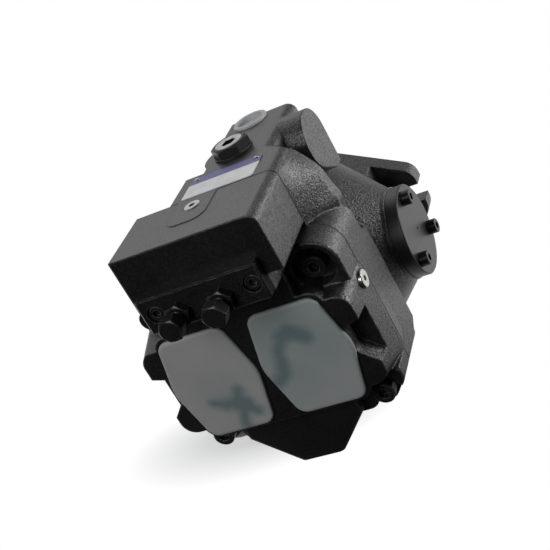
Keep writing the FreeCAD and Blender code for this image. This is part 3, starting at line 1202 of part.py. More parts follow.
def side_plug():
    x1 = RAIL_HALF_X + SIDE_PLUG_RISE - 0.8
    disc = cyl_x(SIDE_PLUG_R, x1 - 12, x1, SIDE_PLUG_Y, SIDE_PLUG_Z)
    rim = [e for e in disc.Edges if abs(e.CenterOfMass.x - x1) < 1e-6]
    disc = disc.makeChamfer(0.6, rim)
    points = [(SIDE_PLUG_Y + 2.6 * cos(radians(60 * i)), SIDE_PLUG_Z + 2.6 * sin(radians(60 * i)))
              for i in range(6)]
    return disc.cut(prism_yz(points, x1 - 4, x1 + 1))


def all_parts():
    right = trunnion_cover()
    ring = cover_oring()
    return {
        "housing": housing(),
        "port_block": port_block(),
        "cover_gasket": cover_gasket(),
        "cover_bolts": cover_bolts(),
        "adjuster_bar": adjuster_bar(),
        "adjuster_bar_screws": bar_screws(),
        "adjuster_lock_nuts": lock_nuts(),
        "pressure_adjusting_screw": adjusting_screw(ADJ_X[0]),
        "flow_adjusting_screw": adjusting_screw(ADJ_X[1]),
        "pressure_spring_seat": spring_seat(ADJ_X[0]),
        "flow_spring_seat": spring_seat(ADJ_X[1]),
        "pressure_spring": compensator_spring(ADJ_X[0]),
        "flow_spring": compensator_spring(ADJ_X[1]),
        "pressure_spool": compensator_spool(ADJ_X[0]),
        "flow_spool": compensator_spool(ADJ_X[1]),
        "trunnion_cover_right": right,
        "trunnion_cover_left": mirror_x(right),
        "trunnion_cover_orings": Part.makeCompound([ring, mirror_x(ring)]),
        "trunnion_cover_screws": cover_screws(),
        "trunnion_bushes": trunnion_bushes(),
        "yoke": yoke(),
        "wear_plate": wear_plate(),
        "control_piston": control_piston(),
        "bias_plunger": bias_plunger(),
        "bias_spring": bias_spring(),
        "drive_shaft": drive_shaft(),
        "shaft_key": key_block(0.0),
        "cylinder_barrel": cylinder_barrel(),
        "pistons": pistons(),
        "slippers": slippers(),
        "slipper_retainer": slipper_retainer(),
        "ball_guide": ball_guide(),
        "barrel_spring": barrel_spring(),
        "valve_plate": valve_plate(),
        "valve_plate_pin": valve_plate_pin(),
        "front_bearing_cup": front_bearing_cup(),
        "front_bearing_cone": front_bearing_cone(),
        "front_bearing_rollers": front_bearing_rollers(),
        "rear_bearing_ring": rear_bearing_ring(),
        "rear_bearing_rollers": rear_bearing_rollers(),
        "shaft_seal": shaft_seal(),
        "seal_retaining_ring": seal_ring(),
        "port_cap_left": port_cap(-PORT_X),
        "port_cap_right": port_cap(PORT_X),
        "nameplate": nameplate(),
        "nameplate_rivets": plate_rivets(),
        "fill_plug": fill_plug(),
        "fill_plug_washer": fill_washer(),
        "drain_cap": drain_cap(),
        "top_plug": top_plug(),
        "side_plug": side_plug(),
    }


for name, shape in all_parts().items():
    shape.exportStep("parts/" + name + ".step")
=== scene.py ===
"""Studio scene of a variable axial piston hydraulic pump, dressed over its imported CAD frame."""
import math

import bmesh
import bpy
from mathutils import Matrix, Vector

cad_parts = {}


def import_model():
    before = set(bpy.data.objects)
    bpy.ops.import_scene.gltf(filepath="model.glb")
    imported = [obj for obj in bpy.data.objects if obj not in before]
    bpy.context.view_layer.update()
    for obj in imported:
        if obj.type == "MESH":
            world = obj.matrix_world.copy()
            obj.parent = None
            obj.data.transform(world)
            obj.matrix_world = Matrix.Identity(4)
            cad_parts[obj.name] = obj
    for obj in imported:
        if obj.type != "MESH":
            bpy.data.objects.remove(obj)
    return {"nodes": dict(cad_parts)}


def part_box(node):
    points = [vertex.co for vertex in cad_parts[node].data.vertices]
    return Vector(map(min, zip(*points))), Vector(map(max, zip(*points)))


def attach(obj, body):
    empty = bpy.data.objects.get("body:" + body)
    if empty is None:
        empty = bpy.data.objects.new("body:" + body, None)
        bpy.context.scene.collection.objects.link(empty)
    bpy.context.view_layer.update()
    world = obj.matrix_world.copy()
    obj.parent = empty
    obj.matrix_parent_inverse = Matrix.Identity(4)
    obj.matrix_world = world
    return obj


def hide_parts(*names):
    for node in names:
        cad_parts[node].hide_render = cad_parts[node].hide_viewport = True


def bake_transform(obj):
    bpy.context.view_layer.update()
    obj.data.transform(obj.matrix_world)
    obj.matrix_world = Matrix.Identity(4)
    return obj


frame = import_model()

TURN = 2 * math.pi


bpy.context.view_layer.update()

# Shipping caps: places shared with the CAD, in metres, and the rounding of the moulded rim
PORT_X = 0.0426
PAD_Y = -0.2438
CAP_THK = 0.004
CAP_PLATE_R = 0.011
CAP_LEAN = math.radians(12.3)
CAP_WAIST_R = 0.038
CAP_OFFSET_MAX = 0.009
CAP_ARC_STEPS = 12
CAP_FACE = (  # how far in from the outline, how deep behind the front
    (0.0, 0.002),
    (0.0004, 0.001),
    (0.001, 0.0004),
    (0.002, 0.0),
    (0.004, 0.0),
    (0.009, 0.0003),
    (0.018, 0.0006),
    (0.026, 0.0008),
)
PEG_X = 0.02145
PEG_Z = 0.0389
PEG_R = 0.0057
PEG_LEN = 0.012
PEG_ROOT = 0.0005
PEG_TIP = 0.002
PEG_TAPER = 0.0014
PEG_SIDES = 24

# Adjusting screws
ADJ_R = 0.006
SCREW_HEAD_AF = 0.018
SCREW_HEAD_LEN = 0.012
SCREW_END_INSET = 0.0006
SCREW_CHAMFER = 0.00115
CHAMFER_STEPS = 5
CHAMFER_SLOPE = 1.73
SCREW_TIP = 0.0015
SCREW_SIDES = 60
THREAD_PITCH = 0.0015
THREAD_DEPTH = 0.0009
THREAD_CREST = 0.12
THREAD_FLANK = 0.7
RINGS_PER_PITCH = 12

# Springs
COIL_STEPS = 28
WIRE_SIDES = 10
THIN_WIRE = 0.0016
THICK_WIRE = 0.002

# Places on the top face: the nameplate, its fields and the filler plug
TOP_Z = 0.141
PLATE_X = (-0.0105, 0.0555)
PLATE_Y = (-0.1985, -0.1635)
PLATE_TOP_Z = 0.1418
BAND_SHARE = 0.34
BAND_Y = PLATE_Y[1] - BAND_SHARE * (PLATE_Y[1] - PLATE_Y[0])
FIELD_SIDE = 0.004
FIELD_FOOT = 0.0022
FIELD_ROOM = 0.005
FIELD_ROW_GAP = 0.0018
FIELD_HALF_GAP = 0.0012
FIELD_SPLITS = (0.42, 0.6, 0.42)
FIELD_LINE = 0.0004
FIELD_SUNK = 0.0002
FIELD_RAISED = 0.0001
PLUG_AXIS = (0.018, -0.131)
PLUG_TOP_Z = 0.1505
PLUG_RING_R = 0.0122

# Paint on the castings: machined faces are smoother than cast ones, and faces turned to the front get
# less sheen, a painted shade on that side
MACHINED_GRAIN = 0.25
MACHINED_POLISH = 0.8
MACHINED_STEP = (0.0006, 0.0003)
FACING_FRONT = (-0.99, -0.95)
FRONT_SHEEN = 0.45
PIT_SHEEN = (0.4, 2.05)
# Grain of the paint; its glint amount is painted glint, lighter specks that stand in for light glinting
# off the grain
CAST_GRAIN = {"scale": 520.0, "strength": 1.0, "depth": 0.0006, "swell": 0.4, "painted_glint": 0.3}
FINE_GRAIN = {"scale": 1600.0, "strength": 0.25, "depth": 0.00015, "swell": 0.1, "painted_glint": 0.1}

# Plastic: two tints that cloud into each other, the tint of edges, and how far light goes in
CAP_GREYS = ((0.37, 0.37, 0.37), (0.4, 0.4, 0.4))
CAP_TEAL = (0.333, 0.385, 0.382)
CAP_HAZE_TINT = (0.273, 0.33, 0.33)
CAP_STROKE_TINT = (0.15, 0.21, 0.222)
CAP_EDGE_TINT = (0.4, 0.425, 0.425)
DRAIN_CAP_TINTS = ((0.47, 0.495, 0.495), (0.58, 0.6, 0.6))
DRAIN_CAP_EDGE = (0.72, 0.74, 0.74)
PLASTIC_DEPTH = 0.003

# Soft darker blue-green strokes on the frosted caps: x and z of both ends, then a width
STROKE_R = 0.0062
STROKE_SOFT = 0.0038
STROKE_WOBBLE = 0.006
STROKE_WOBBLE_SCALE = 60.0
HAZE_R = 0.017
HAZE_SOFT = 0.015
CAP_STROKES = (
    (0.0510, 0.0200, 0.0404, 0.0262, 1.15),
    (0.0404, 0.0262, 0.0312, 0.0245, 1.1),
    (0.0312, 0.0245, 0.0240, 0.0138, 0.9),
    (0.0240, 0.0138, 0.0213, 0.0028, 0.85),
    (0.0213, 0.0028, 0.0187, -0.0084, 0.95),
    (0.0187, -0.0084, 0.0097, -0.0140, 0.9),
    (-0.0545, -0.0170, -0.0457, -0.0215, 0.72),
    (-0.0457, -0.0215, -0.0325, -0.0200, 0.8),
    (-0.0325, -0.0194, -0.0268, -0.0100, 0.72),
    (-0.0335, -0.0235, -0.0290, -0.0270, 1.5),
    (-0.0290, -0.0260, -0.0205, -0.0345, 0.85),
    (-0.0327, -0.0311, -0.0372, -0.0440, 0.8),
)
CAP_HAZES = (
    (0.030, 0.032, 0.058, 0.010, 1.2),
    (0.014, 0.034, 0.026, -0.008, 1.2),
    (-0.036, -0.012, -0.045, -0.012, 0.7),
)

# Colours of the nameplate and the filler plug, and how softly they meet
PLATE_SILVERS = ((0.84, 0.85, 0.87), (0.7, 0.71, 0.73))
PLATE_INKS = ((0.11, 0.115, 0.31), (0.15, 0.155, 0.38))
PLATE_EDGE = (0.8, 0.82, 0.85)
PRINT_BLUR = 0.0002
PLUG_BLACKS = ((0.004, 0.004, 0.0045), (0.009, 0.009, 0.0095))
PLUG_EDGE = (0.1, 0.1, 0.1)
PLUG_SILVERS = ((0.6, 0.6, 0.61), (0.38, 0.38, 0.39))
PLUG_WORN_DEPTH = (0.0009, 0.0006)
PLUG_RING_BLUR = 0.0003

# Floor: its rings, its paper, the painted shade of a flag in front of the pump, and where it fades to
# plain white
FLOOR_Z = -0.1143
FLOOR_CENTRE_Y = -0.1
FLOOR_RADII = (0.3, 0.8, 2.0, 6.0)
FLOOR_SIDES = 48
PAPER_TINTS = ((0.9, 0.92, 0.95), (0.93, 0.94, 0.96))
FLAG_Y = (-0.24, -0.05)
FLAG_SLANT = 0.4
FLAG_SHADE = 0.02
FLOOR_LIFT = 1.0
SHADOW_LIFT = 0.38
SHADOW_CENTRE = (-0.09, -0.15)
SHADOW_STRETCH_Y = 2.0
SHADOW_REACH = (0.05, 0.15)
WHITE_REACH = (0.12, 0.42)

# Lamps: name, place, what each one points at, size and watts
LAMPS = (
    ("key_right_back", (1.35, 0.55, 0.3), (0.0, -0.1, 0.0), (0.9, 0.5), 12.0),
    ("back_left_soft", (-0.7, 1.0, 1.3), (0.0, -0.1, 0.0), (1.2, 1.2), 3.0),
    ("front_fill", (-0.2, -1.6, 0.95), (0.0, -0.2, 0.0), (0.8, 0.8), 12.5),
)

# Room round the pump: the direction of its bright side, where the brightness turns, and both levels
BRIGHT_SIDE = (-0.45, 0.8, 0.35)
ROOM_TURN = (0.2, 0.85)
ROOM_DARK = 0.03
ROOM_BRIGHT = 0.5

# Camera: its lens, its place, the point it looks at, and the roll that tips the pump in the frame
SENSOR_MM = 36.0
PHOTO_PX = 550.0
CAMERA_FOCAL_PX = 1185.0
CAMERA_PLACE = (0.436, -0.976, 0.433)
CAMERA_AIM = (-0.0012, -0.14, 0.0253)
CAMERA_ROLL = math.radians(-29.89)
CAMERA_CLIP = (0.05, 50.0)


# Materials

class Graph:
    """A material's node tree, with short calls for the nodes used here."""

    def __init__(self, name):
        self.mat = bpy.data.materials.new(name)
        self.mat.use_nodes = True
        self.tree = self.mat.node_tree
        self.bsdf = self.tree.nodes["Principled BSDF"]
        self.coord = self.node("ShaderNodeTexCoord").outputs["Object"]

    def node(self, kind, **settings):
        """A new node with its settings."""
        made = self.tree.nodes.new(kind)
        for key, value in settings.items():
            setattr(made, key, value)
        return made

    def link(self, source, target):
        """Feeds one socket into another."""
        self.tree.links.new(source, target)

    def noise(self, scale, detail, rough, stretch=None):
        """Noise between 0 and 1 over the object's own coordinates."""
        made = self.node("ShaderNodeTexNoise")
        made.inputs["Scale"].default_value = scale
        made.inputs["Detail"].default_value = detail
        made.inputs["Roughness"].default_value = rough
        if stretch is None:
            self.link(self.coord, made.inputs["Vector"])
        else:
            mapping = self.node("ShaderNodeMapping")
            mapping.inputs["Scale"].default_value = stretch
            self.link(self.coord, mapping.inputs["Vector"])
            self.link(mapping.outputs[0], made.inputs["Vector"])
        return made.outputs[0]

    def remap(self, value, from_min, from_max, to_min=0.0, to_max=1.0):
        """A value's range stretched to another one and held inside it."""
        made = self.node("ShaderNodeMapRange", clamp=True)
        for socket, number in zip(made.inputs[1:5], (from_min, from_max, to_min, to_max)):
            socket.default_value = number
        self.link(value, made.inputs[0])
        return made.outputs[0]

    def maths(self, operation, a, b):
        """Arithmetic on two values; each is a number or a socket."""
        made = self.node("ShaderNodeMath", operation=operation)
        for socket, value in zip(made.inputs, (a, b)):
            if isinstance(value, (int, float)):
                socket.default_value = value
            else:
                self.link(value, socket)
        return made.outputs[0]

    def mix(self, factor, a, b):
        """Colour mix; a and b are colours or sockets."""
        made = self.node("ShaderNodeMix", data_type="RGBA")
        self.link(factor, made.inputs[0])
        for socket, value in ((made.inputs[6], a), (made.inputs[7], b)):
            if isinstance(value, (tuple, list)):
                socket.default_value = (*value[:3], 1.0)
            else:
                self.link(value, socket)
        return made.outputs[2]

    def mix_value(self, factor, a, b):
        """Blend of two sockets that hold numbers."""
        made = self.node("ShaderNodeMix", data_type="FLOAT")
        self.link(factor, made.inputs[0])
        self.link(a, made.inputs[2])
        self.link(b, made.inputs[3])
        return made.outputs[0]

    def vector(self, operation, a, b, output="Vector"):
        """Vector maths on sockets and constant tuples."""
        made = self.node("ShaderNodeVectorMath", operation=operation)
        for socket, value in zip(made.inputs, (a, b)):
            if isinstance(value, tuple):
                socket.default_value = value
            elif value is not None:
                self.link(value, socket)
        return made.outputs[output]

    def part_of(self, vector, letter):
        """One component of a vector socket."""
        made = self.node("ShaderNodeSeparateXYZ")
        self.link(vector, made.inputs[0])
        return made.outputs["XYZ".index(letter)]

    def axis(self, letter):
        """One component of the place on the object."""
        return self.part_of(self.coord, letter)

    def facing(self, letter):
        """One component of the surface's own normal."""
        return self.part_of(self.node("ShaderNodeNewGeometry").outputs["Normal"], letter)

    def soft_edges(self, radius):
        """Normal rounded at the edges, and a mask that is 1 on sharp edges."""
        bevel = self.node("ShaderNodeBevel", samples=6)
        bevel.inputs["Radius"].default_value = radius
        plain = self.node("ShaderNodeNewGeometry").outputs["Normal"]
        dot = self.vector("DOT_PRODUCT", bevel.outputs[0], plain, "Value")
        return bevel.outputs[0], self.remap(dot, 0.99, 0.86)

    def bump(self, height, strength, distance, normal):
        """Normal bent by a height."""
        made = self.node("ShaderNodeBump")
        made.inputs["Strength"].default_value = strength
        made.inputs["Distance"].default_value = distance
        self.link(height, made.inputs["Height"])
        if normal is not None:
            self.link(normal, made.inputs["Normal"])
        return made.outputs[0]

    def strokes(self, lines, radius, soft):
        """Mask of soft strokes drawn in the XZ plane, from end points in metres."""
        wobble = self.node("ShaderNodeTexNoise")
        wobble.inputs["Scale"].default_value = STROKE_WOBBLE_SCALE
        self.link(self.coord, wobble.inputs["Vector"])
        flat = self.vector("MULTIPLY", self.coord, (1.0, 0.0, 1.0))
        drift = self.vector("SUBTRACT", wobble.outputs[1], (0.5, 0.5, 0.5))
        shift = self.vector("MULTIPLY", drift, (STROKE_WOBBLE, 0.0, STROKE_WOBBLE))
        point = self.vector("ADD", flat, shift)
        whole = None
        for ax, az, bx, bz, width in lines:
            run = Vector((bx - ax, 0.0, bz - az))
            from_a = self.vector("SUBTRACT", point, (ax, 0.0, az))
            along = self.vector("DOT_PRODUCT", from_a, tuple(run / run.length_squared), "Value")
            along = self.remap(along, 0.0, 1.0)
            spread = self.node("ShaderNodeVectorMath", operation="SCALE")
            spread.inputs[0].default_value = run
            self.link(along, spread.inputs["Scale"])
            beside = self.vector("SUBTRACT", from_a, spread.outputs[0])
            away = self.vector("LENGTH", beside, None, "Value")
            mask = self.remap(away, width * radius - soft, width * radius + soft, 1.0, 0.0)
            whole = mask if whole is None else self.maths("MAXIMUM", whole, mask)
        return whole

    def ray(self, kind):
        """1 for the rays of one kind, such as those that the camera sends."""
        return self.node("ShaderNodeLightPath").outputs[kind]

    def glow_inside(self, weight):
        """Lets light go a little way into plastic."""
        self.bsdf.inputs["Subsurface Weight"].default_value = weight
        self.bsdf.inputs["Subsurface Radius"].default_value = (PLASTIC_DEPTH,) * 3
        self.bsdf.inputs["Subsurface Scale"].default_value = 1.0

    def finish(self, colour, roughness, normal, metallic=0.0, specular=0.5):
        """Wires the shader; numbers are set on its sockets, and sockets are linked to them."""
        values = (
            ("Base Color", colour),
            ("Roughness", roughness),
            ("Normal", normal),
            ("Metallic", metallic),
            ("Specular IOR Level", specular),
        )
        for socket, value in values:
            if isinstance(value, (int, float)):
                self.bsdf.inputs[socket].default_value = value
            else:
                self.link(value, self.bsdf.inputs[socket])
        return self.mat


def worn_paint(name, dark, light, wear_and_highlight, roughness, grain, edge_radius, specular, smooth_above=None):
    """Paint over metal: uneven colour, a fine grain with painted glints on it, and lighter edges, partly
    rubbed wear and partly painted highlight.
    """
    g = Graph(name)
    normal, edges = g.soft_edges(edge_radius)
    cloudy = g.noise(28.0, 4.0, 0.6)
    speckle = g.noise(grain["scale"], 3.0, 0.7)
    swell = g.noise(75.0, 3.0, 0.5)
    base = g.mix(g.remap(cloudy, 0.3, 0.72), dark, light)
    # Painted glints: the grain's peaks get the lighter edge colour, standing in for light glinting off
    # them
    painted_glint = g.remap(speckle, 0.5, 0.72, 0.0, grain["painted_glint"])
    # Lighter edges: partly rubbed wear, partly painted edge highlight
    rub_and_highlight = g.maths("MULTIPLY", edges, g.remap(g.noise(140.0, 3.0, 0.7), 0.38, 0.62, 0.0, 0.9))
    rough = g.remap(speckle, 0.25, 0.75, *roughness)
    if smooth_above is not None:
        below, above = (smooth_above - step for step in MACHINED_STEP)
        low = g.remap(g.axis("Z"), below, above, 1.0, MACHINED_GRAIN)
        front = g.facing("Y")
        cast = g.maths("MINIMUM", low, g.remap(front, *FACING_FRONT, MACHINED_GRAIN, 1.0))
        painted_glint = g.maths("MULTIPLY", painted_glint, cast)
        speckle = g.maths("MULTIPLY", speckle, cast)
        swell = g.maths("MULTIPLY", swell, cast)
        rough = g.maths("MULTIPLY", rough, g.remap(cast, MACHINED_GRAIN, 1.0, MACHINED_POLISH, 1.0))
        pits = g.remap(g.noise(grain["scale"] * 1.3, 3.0, 0.75), 0.38, 0.62, *PIT_SHEEN)
        # Painted shade: faces turned to the front get less sheen, so that side reads darker
        machined_sheen_with_front_shade = g.remap(front, *FACING_FRONT, specular * FRONT_SHEEN, specular)
        specular = g.mix_value(cast, machined_sheen_with_front_shade, pits)
    colour = g.mix(g.maths("MAXIMUM", rub_and_highlight, painted_glint), base, wear_and_highlight)
    normal = g.bump(swell, grain["swell"], 0.0012, normal)
    normal = g.bump(speckle, grain["strength"], grain["depth"], normal)
    return g.finish(colour, rough, normal, specular=specular)


def bare_metal(name, colour, tint, roughness):
    """Machined metal with fine tool marks, stains and bright edges."""
    g = Graph(name)
    normal, edges = g.soft_edges(0.0004)
    marks = g.noise(9.0, 3.0, 0.6, (60.0, 60.0, 60.0))
    stain = g.noise(45.0, 4.0, 0.6)
    base = g.mix(g.remap(stain, 0.35, 0.75), colour, tint)
    bright = tuple(min(1.0, c * 1.25) for c in colour)
    base = g.mix(g.maths("MULTIPLY", edges, 0.6), base, bright)
    rough = g.remap(marks, 0.25, 0.75, *roughness)
    normal = g.bump(marks, 0.25, 0.0002, normal)
    return g.finish(base, rough, normal, metallic=1.0)


def moulded_rubber(name, colour, roughness=(0.55, 0.75)):
    """Dull rubber or fibre with dust on it and paler edges."""
    g = Graph(name)
    normal, edges = g.soft_edges(0.0004)
    fine = g.noise(900.0, 2.0, 0.6)
    dust = g.remap(g.noise(60.0, 4.0, 0.6), 0.45, 0.75, 0.0, 0.5)
    base = g.mix(dust, colour, tuple(c * 2.2 + 0.01 for c in colour))
    base = g.mix(g.maths("MULTIPLY", edges, 0.35), base, tuple(c * 3 + 0.02 for c in colour))
    rough = g.remap(fine, 0.3, 0.7, *roughness)
    return g.finish(base, rough, g.bump(fine, 0.25, 0.0002, normal))


def frosted_plastic():
    """Grey frosted cap plastic with soft, darker blue-green strokes across it."""
    g = Graph("frosted_cap")
    normal, edges = g.soft_edges(0.0016)
    deep = g.strokes(CAP_STROKES, STROKE_R, STROKE_SOFT)
    haze = g.strokes(CAP_HAZES, HAZE_R, HAZE_SOFT)
    base = g.mix(g.remap(g.noise(30.0, 3.0, 0.5), 0.3, 0.7), *CAP_GREYS)
    right_side = g.remap(g.axis("X"), 0.0, 0.004, 0.0, 0.8)
    patches = g.remap(g.noise(22.0, 2.0, 0.5), 0.35, 0.6, 0.25, 1.0)
    base = g.mix(g.maths("MULTIPLY", right_side, patches), base, CAP_TEAL)
    base = g.mix(g.maths("MULTIPLY", haze, 0.6), base, CAP_HAZE_TINT)
    base = g.mix(g.maths("MULTIPLY", deep, 0.92), base, CAP_STROKE_TINT)
    base = g.mix(g.maths("MULTIPLY", edges, 0.15), base, CAP_EDGE_TINT)
    scuff = g.noise(300.0, 3.0, 0.7)
    rough = g.remap(scuff, 0.25, 0.75, 0.42, 0.6)
    g.glow_inside(0.12)
    normal = g.bump(g.noise(45.0, 3.0, 0.5), 0.2, 0.001, normal)
    return g.finish(base, rough, g.bump(scuff, 0.08, 0.0002, normal), specular=0.35)


def white_plastic():
    """Cloudy white plastic of the drain's cap."""
    g = Graph("white_cap")
    normal, edges = g.soft_edges(0.0006)
    cloud = g.remap(g.noise(160.0, 4.0, 0.6), 0.3, 0.7)
    base = g.mix(cloud, *DRAIN_CAP_TINTS)
    base = g.mix(g.maths("MULTIPLY", edges, 0.5), base, DRAIN_CAP_EDGE)
    rough = g.remap(g.noise(260.0, 3.0, 0.6), 0.3, 0.7, 0.25, 0.42)
    g.glow_inside(0.2)
    return g.finish(base, rough, g.bump(cloud, 0.08, 0.0003, normal))


def printed_plate():
    """Brushed aluminium plate with a printed colour band along its back third."""
    g = Graph("nameplate_metal")
    normal, edges = g.soft_edges(0.0003)
    brush = g.noise(14.0, 2.0, 0.5, (4.0, 220.0, 40.0))
    stain = g.noise(90.0, 4.0, 0.6)
    silver = g.mix(g.remap(stain, 0.35, 0.75), *PLATE_SILVERS)
    band = g.remap(g.axis("Y"), BAND_Y - PRINT_BLUR, BAND_Y + PRINT_BLUR)
    ink = g.mix(g.remap(stain, 0.4, 0.7), *PLATE_INKS)
    base = g.mix(band, silver, ink)
    base = g.mix(g.maths("MULTIPLY", edges, 0.5), base, PLATE_EDGE)
    rough = g.remap(brush, 0.3, 0.7, 0.28, 0.45)
    return g.finish(base, rough, g.bump(brush, 0.15, 0.0001, normal), metallic=0.35)


def socket_plug():
    """Black filler plug whose top face is worn bright round the key socket."""
    g = Graph("plug_steel")
    normal, edges = g.soft_edges(0.0006)
    fine = g.noise(700.0, 3.0, 0.6)
    stain = g.remap(g.noise(90.0, 4.0, 0.6), 0.35, 0.7)
    black = g.mix(stain, *PLUG_BLACKS)
    black = g.mix(g.maths("MULTIPLY", edges, 0.4), black, PLUG_EDGE)
    silver = g.mix(stain, *PLUG_SILVERS)
    below, above = (PLUG_TOP_Z - depth for depth in PLUG_WORN_DEPTH)
    level = g.remap(g.axis("Z"), below, above)
    flat = g.vector("MULTIPLY", g.coord, (1.0, 1.0, 0.0))
    reach = g.vector("LENGTH", g.vector("SUBTRACT", flat, (*PLUG_AXIS, 0.0)), None, "Value")
    inside = g.remap(reach, PLUG_RING_R - PLUG_RING_BLUR, PLUG_RING_R + PLUG_RING_BLUR, 1.0, 0.0)
    top = g.maths("MULTIPLY", level, inside)
    metal = g.maths("MULTIPLY", top, 0.8)
    rough = g.remap(fine, 0.3, 0.7, 0.28, 0.42)
    normal = g.bump(fine, 0.2, 0.0002, normal)
    return g.finish(g.mix(top, black, silver), rough, normal, metallic=metal, specular=0.25)


LOOKS = {
    "casting": worn_paint(
        "cast_paint",
        dark=(0.004, 0.004, 0.0044),
        light=(0.009, 0.009, 0.0094),
        wear_and_highlight=(0.09, 0.09, 0.09),
        roughness=(0.34, 0.52),
        grain=CAST_GRAIN,
        edge_radius=0.0026,
        specular=0.9,
        smooth_above=TOP_Z,
    ),
    "black_steel": worn_paint(
        "black_oxide",
        dark=(0.003, 0.003, 0.0035),
        light=(0.006, 0.006, 0.0065),
        # The light edge colour here is mostly painted edge highlight, partly wear
        wear_and_highlight=(0.5, 0.5, 0.5),
        roughness=(0.24, 0.4),
        grain=FINE_GRAIN,
        edge_radius=0.0005,
        specular=0.3,
    ),
    "cover_paint": worn_paint(
        "cover_paint",
        dark=(0.006, 0.006, 0.0065),
        light=(0.011, 0.011, 0.012),
        wear_and_highlight=(0.12, 0.12, 0.12),
        roughness=(0.34, 0.48),
        grain=FINE_GRAIN,
        edge_radius=0.0009,
        specular=0.65,
    ),
    "machined_steel": bare_metal("ground_steel", (0.56, 0.56, 0.57), (0.44, 0.43, 0.42), (0.22, 0.4)),
    "bronze": bare_metal("bearing_bronze", (0.56, 0.37, 0.17), (0.42, 0.27, 0.12), (0.25, 0.42)),
    "bright_plug": bare_metal("zinc_plate", (0.62, 0.62, 0.6), (0.48, 0.48, 0.44), (0.2, 0.36)),
    "rubber": moulded_rubber("nitrile", (0.014, 0.014, 0.015)),
    "gasket": moulded_rubber("gasket_fibre", (0.008, 0.008, 0.009), (0.8, 0.95)),
    "frosted_plastic": frosted_plastic(),
    "white_plastic": white_plastic(),
    "plate": printed_plate(),
    "socket_plug": socket_plug(),
}
NODE_LOOKS = {
    "casting": ("housing", "port_block"),
    "black_steel": (
        "cover_bolts",
        "adjuster_bar",
        "adjuster_bar_screws",
        "adjuster_lock_nuts",
        "fill_plug_washer",
        "trunnion_cover_screws",
        "pressure_adjusting_screw",
        "flow_adjusting_screw",
    ),
    "cover_paint": ("trunnion_cover_right", "trunnion_cover_left"),
    "bronze": ("wear_plate", "slippers", "valve_plate", "cylinder_barrel", "trunnion_bushes"),
    "bright_plug": ("top_plug", "side_plug", "nameplate_rivets"),
    "socket_plug": ("fill_plug",),
    "rubber": ("trunnion_cover_orings", "shaft_seal"),
    "gasket": ("cover_gasket",),
    "frosted_plastic": ("port_cap_left", "port_cap_right"),
    "white_plastic": ("drain_cap",),
    "plate": ("nameplate",),
}


def dress_nodes():
    """Gives every CAD node its finish; the ones not named above are ground steel."""
    look_of = {node: look for look, nodes in NODE_LOOKS.items() for node in nodes}
    for name, node in frame["nodes"].items():
        node.data.materials.clear()
        node.data.materials.append(LOOKS[look_of.get(name, "machined_steel")])


# Pieces

def new_object(name, mesh, material):
    """An object from a bmesh, with one material."""
    data = bpy.data.meshes.new(name)
    mesh.to_mesh(data)
    mesh.free()
    data.materials.append(material)
    made = bpy.data.objects.new(name, data)
    bpy.context.collection.objects.link(made)
    return made


def piece(name, mesh, look, body, smooth=True):
    """A piece of the pump with its finish, attached to its body when one is given."""
    bmesh.ops.recalc_face_normals(mesh, faces=mesh.faces)
    made = new_object(name, mesh, LOOKS[look])
    if smooth:
        made.data.shade_smooth()
    if body is not None:
        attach(made, body)
    return made


def ring_bridge(mesh, lower, upper):
    """A band of quads between two closed rings."""
    count = len(lower)
    for i in range(count):
        j = (i + 1) % count
        mesh.faces.new((lower[i], lower[j], upper[j], upper[i]))


def ring_across(mesh, x, y, z, sides, radius):
    """A closed ring round an axis along Y; the radius is a function of the angle."""
    ring = []
    for k in range(sides):
        angle = TURN * k / sides
        reach = radius(angle)
        ring.append(mesh.verts.new((x + reach * math.cos(angle), y, z + reach * math.sin(angle))))
    return ring


def closed_stack(mesh, rings):
    """A closed skin over a stack of rings, with a face at each end."""
    for lower, upper in zip(rings, rings[1:]):
        ring_bridge(mesh, lower, upper)
    mesh.faces.new(rings[0])
    mesh.faces.new(rings[-1])


def cap_loop(inset, x0, y):
    """One closed loop of the cap's outline, pulled in by a distance."""
    offset = min(inset, CAP_OFFSET_MAX)
    px = PEG_X + CAP_PLATE_R * math.cos(CAP_LEAN)
    pz = PEG_Z + CAP_PLATE_R * math.sin(CAP_LEAN)
    waist_z = CAP_WAIST_R * math.sin(CAP_LEAN)
    waist_centre = px + (pz - waist_z) * math.tan(CAP_LEAN) - CAP_WAIST_R * math.cos(CAP_LEAN)
    quarter = []
    for k in range(CAP_ARC_STEPS + 1):
        angle = CAP_LEAN * k / CAP_ARC_STEPS
        reach = CAP_WAIST_R - offset
        quarter.append((waist_centre + reach * math.cos(angle), reach * math.sin(angle)))
    for k in range(CAP_ARC_STEPS + 1):
        angle = CAP_LEAN + (math.pi / 2 - CAP_LEAN) * k / CAP_ARC_STEPS
        reach = CAP_PLATE_R - offset
        quarter.append((PEG_X + reach * math.cos(angle), PEG_Z + reach * math.sin(angle)))
    top = quarter + [(-x, z) for x, z in reversed(quarter)]
    loop = top + [(x, -z) for x, z in reversed(top[1:-1])]
    shrink = 1.0 - (inset - offset) / (PEG_X + CAP_PLATE_R)
    return [Vector((x0 + x * shrink, y, z * shrink)) for x, z in loop]


def peg(mesh, x, z):
    """Short round peg under the cap, with a tapered tip."""
    rings = []
    for reach, y in ((PEG_R, -PEG_ROOT), (PEG_R, PEG_LEN - PEG_TIP), (PEG_R - PEG_TAPER, PEG_LEN)):
        rings.append(ring_across(mesh, x, PAD_Y + y, z, PEG_SIDES, lambda angle: reach))
    closed_stack(mesh, rings)


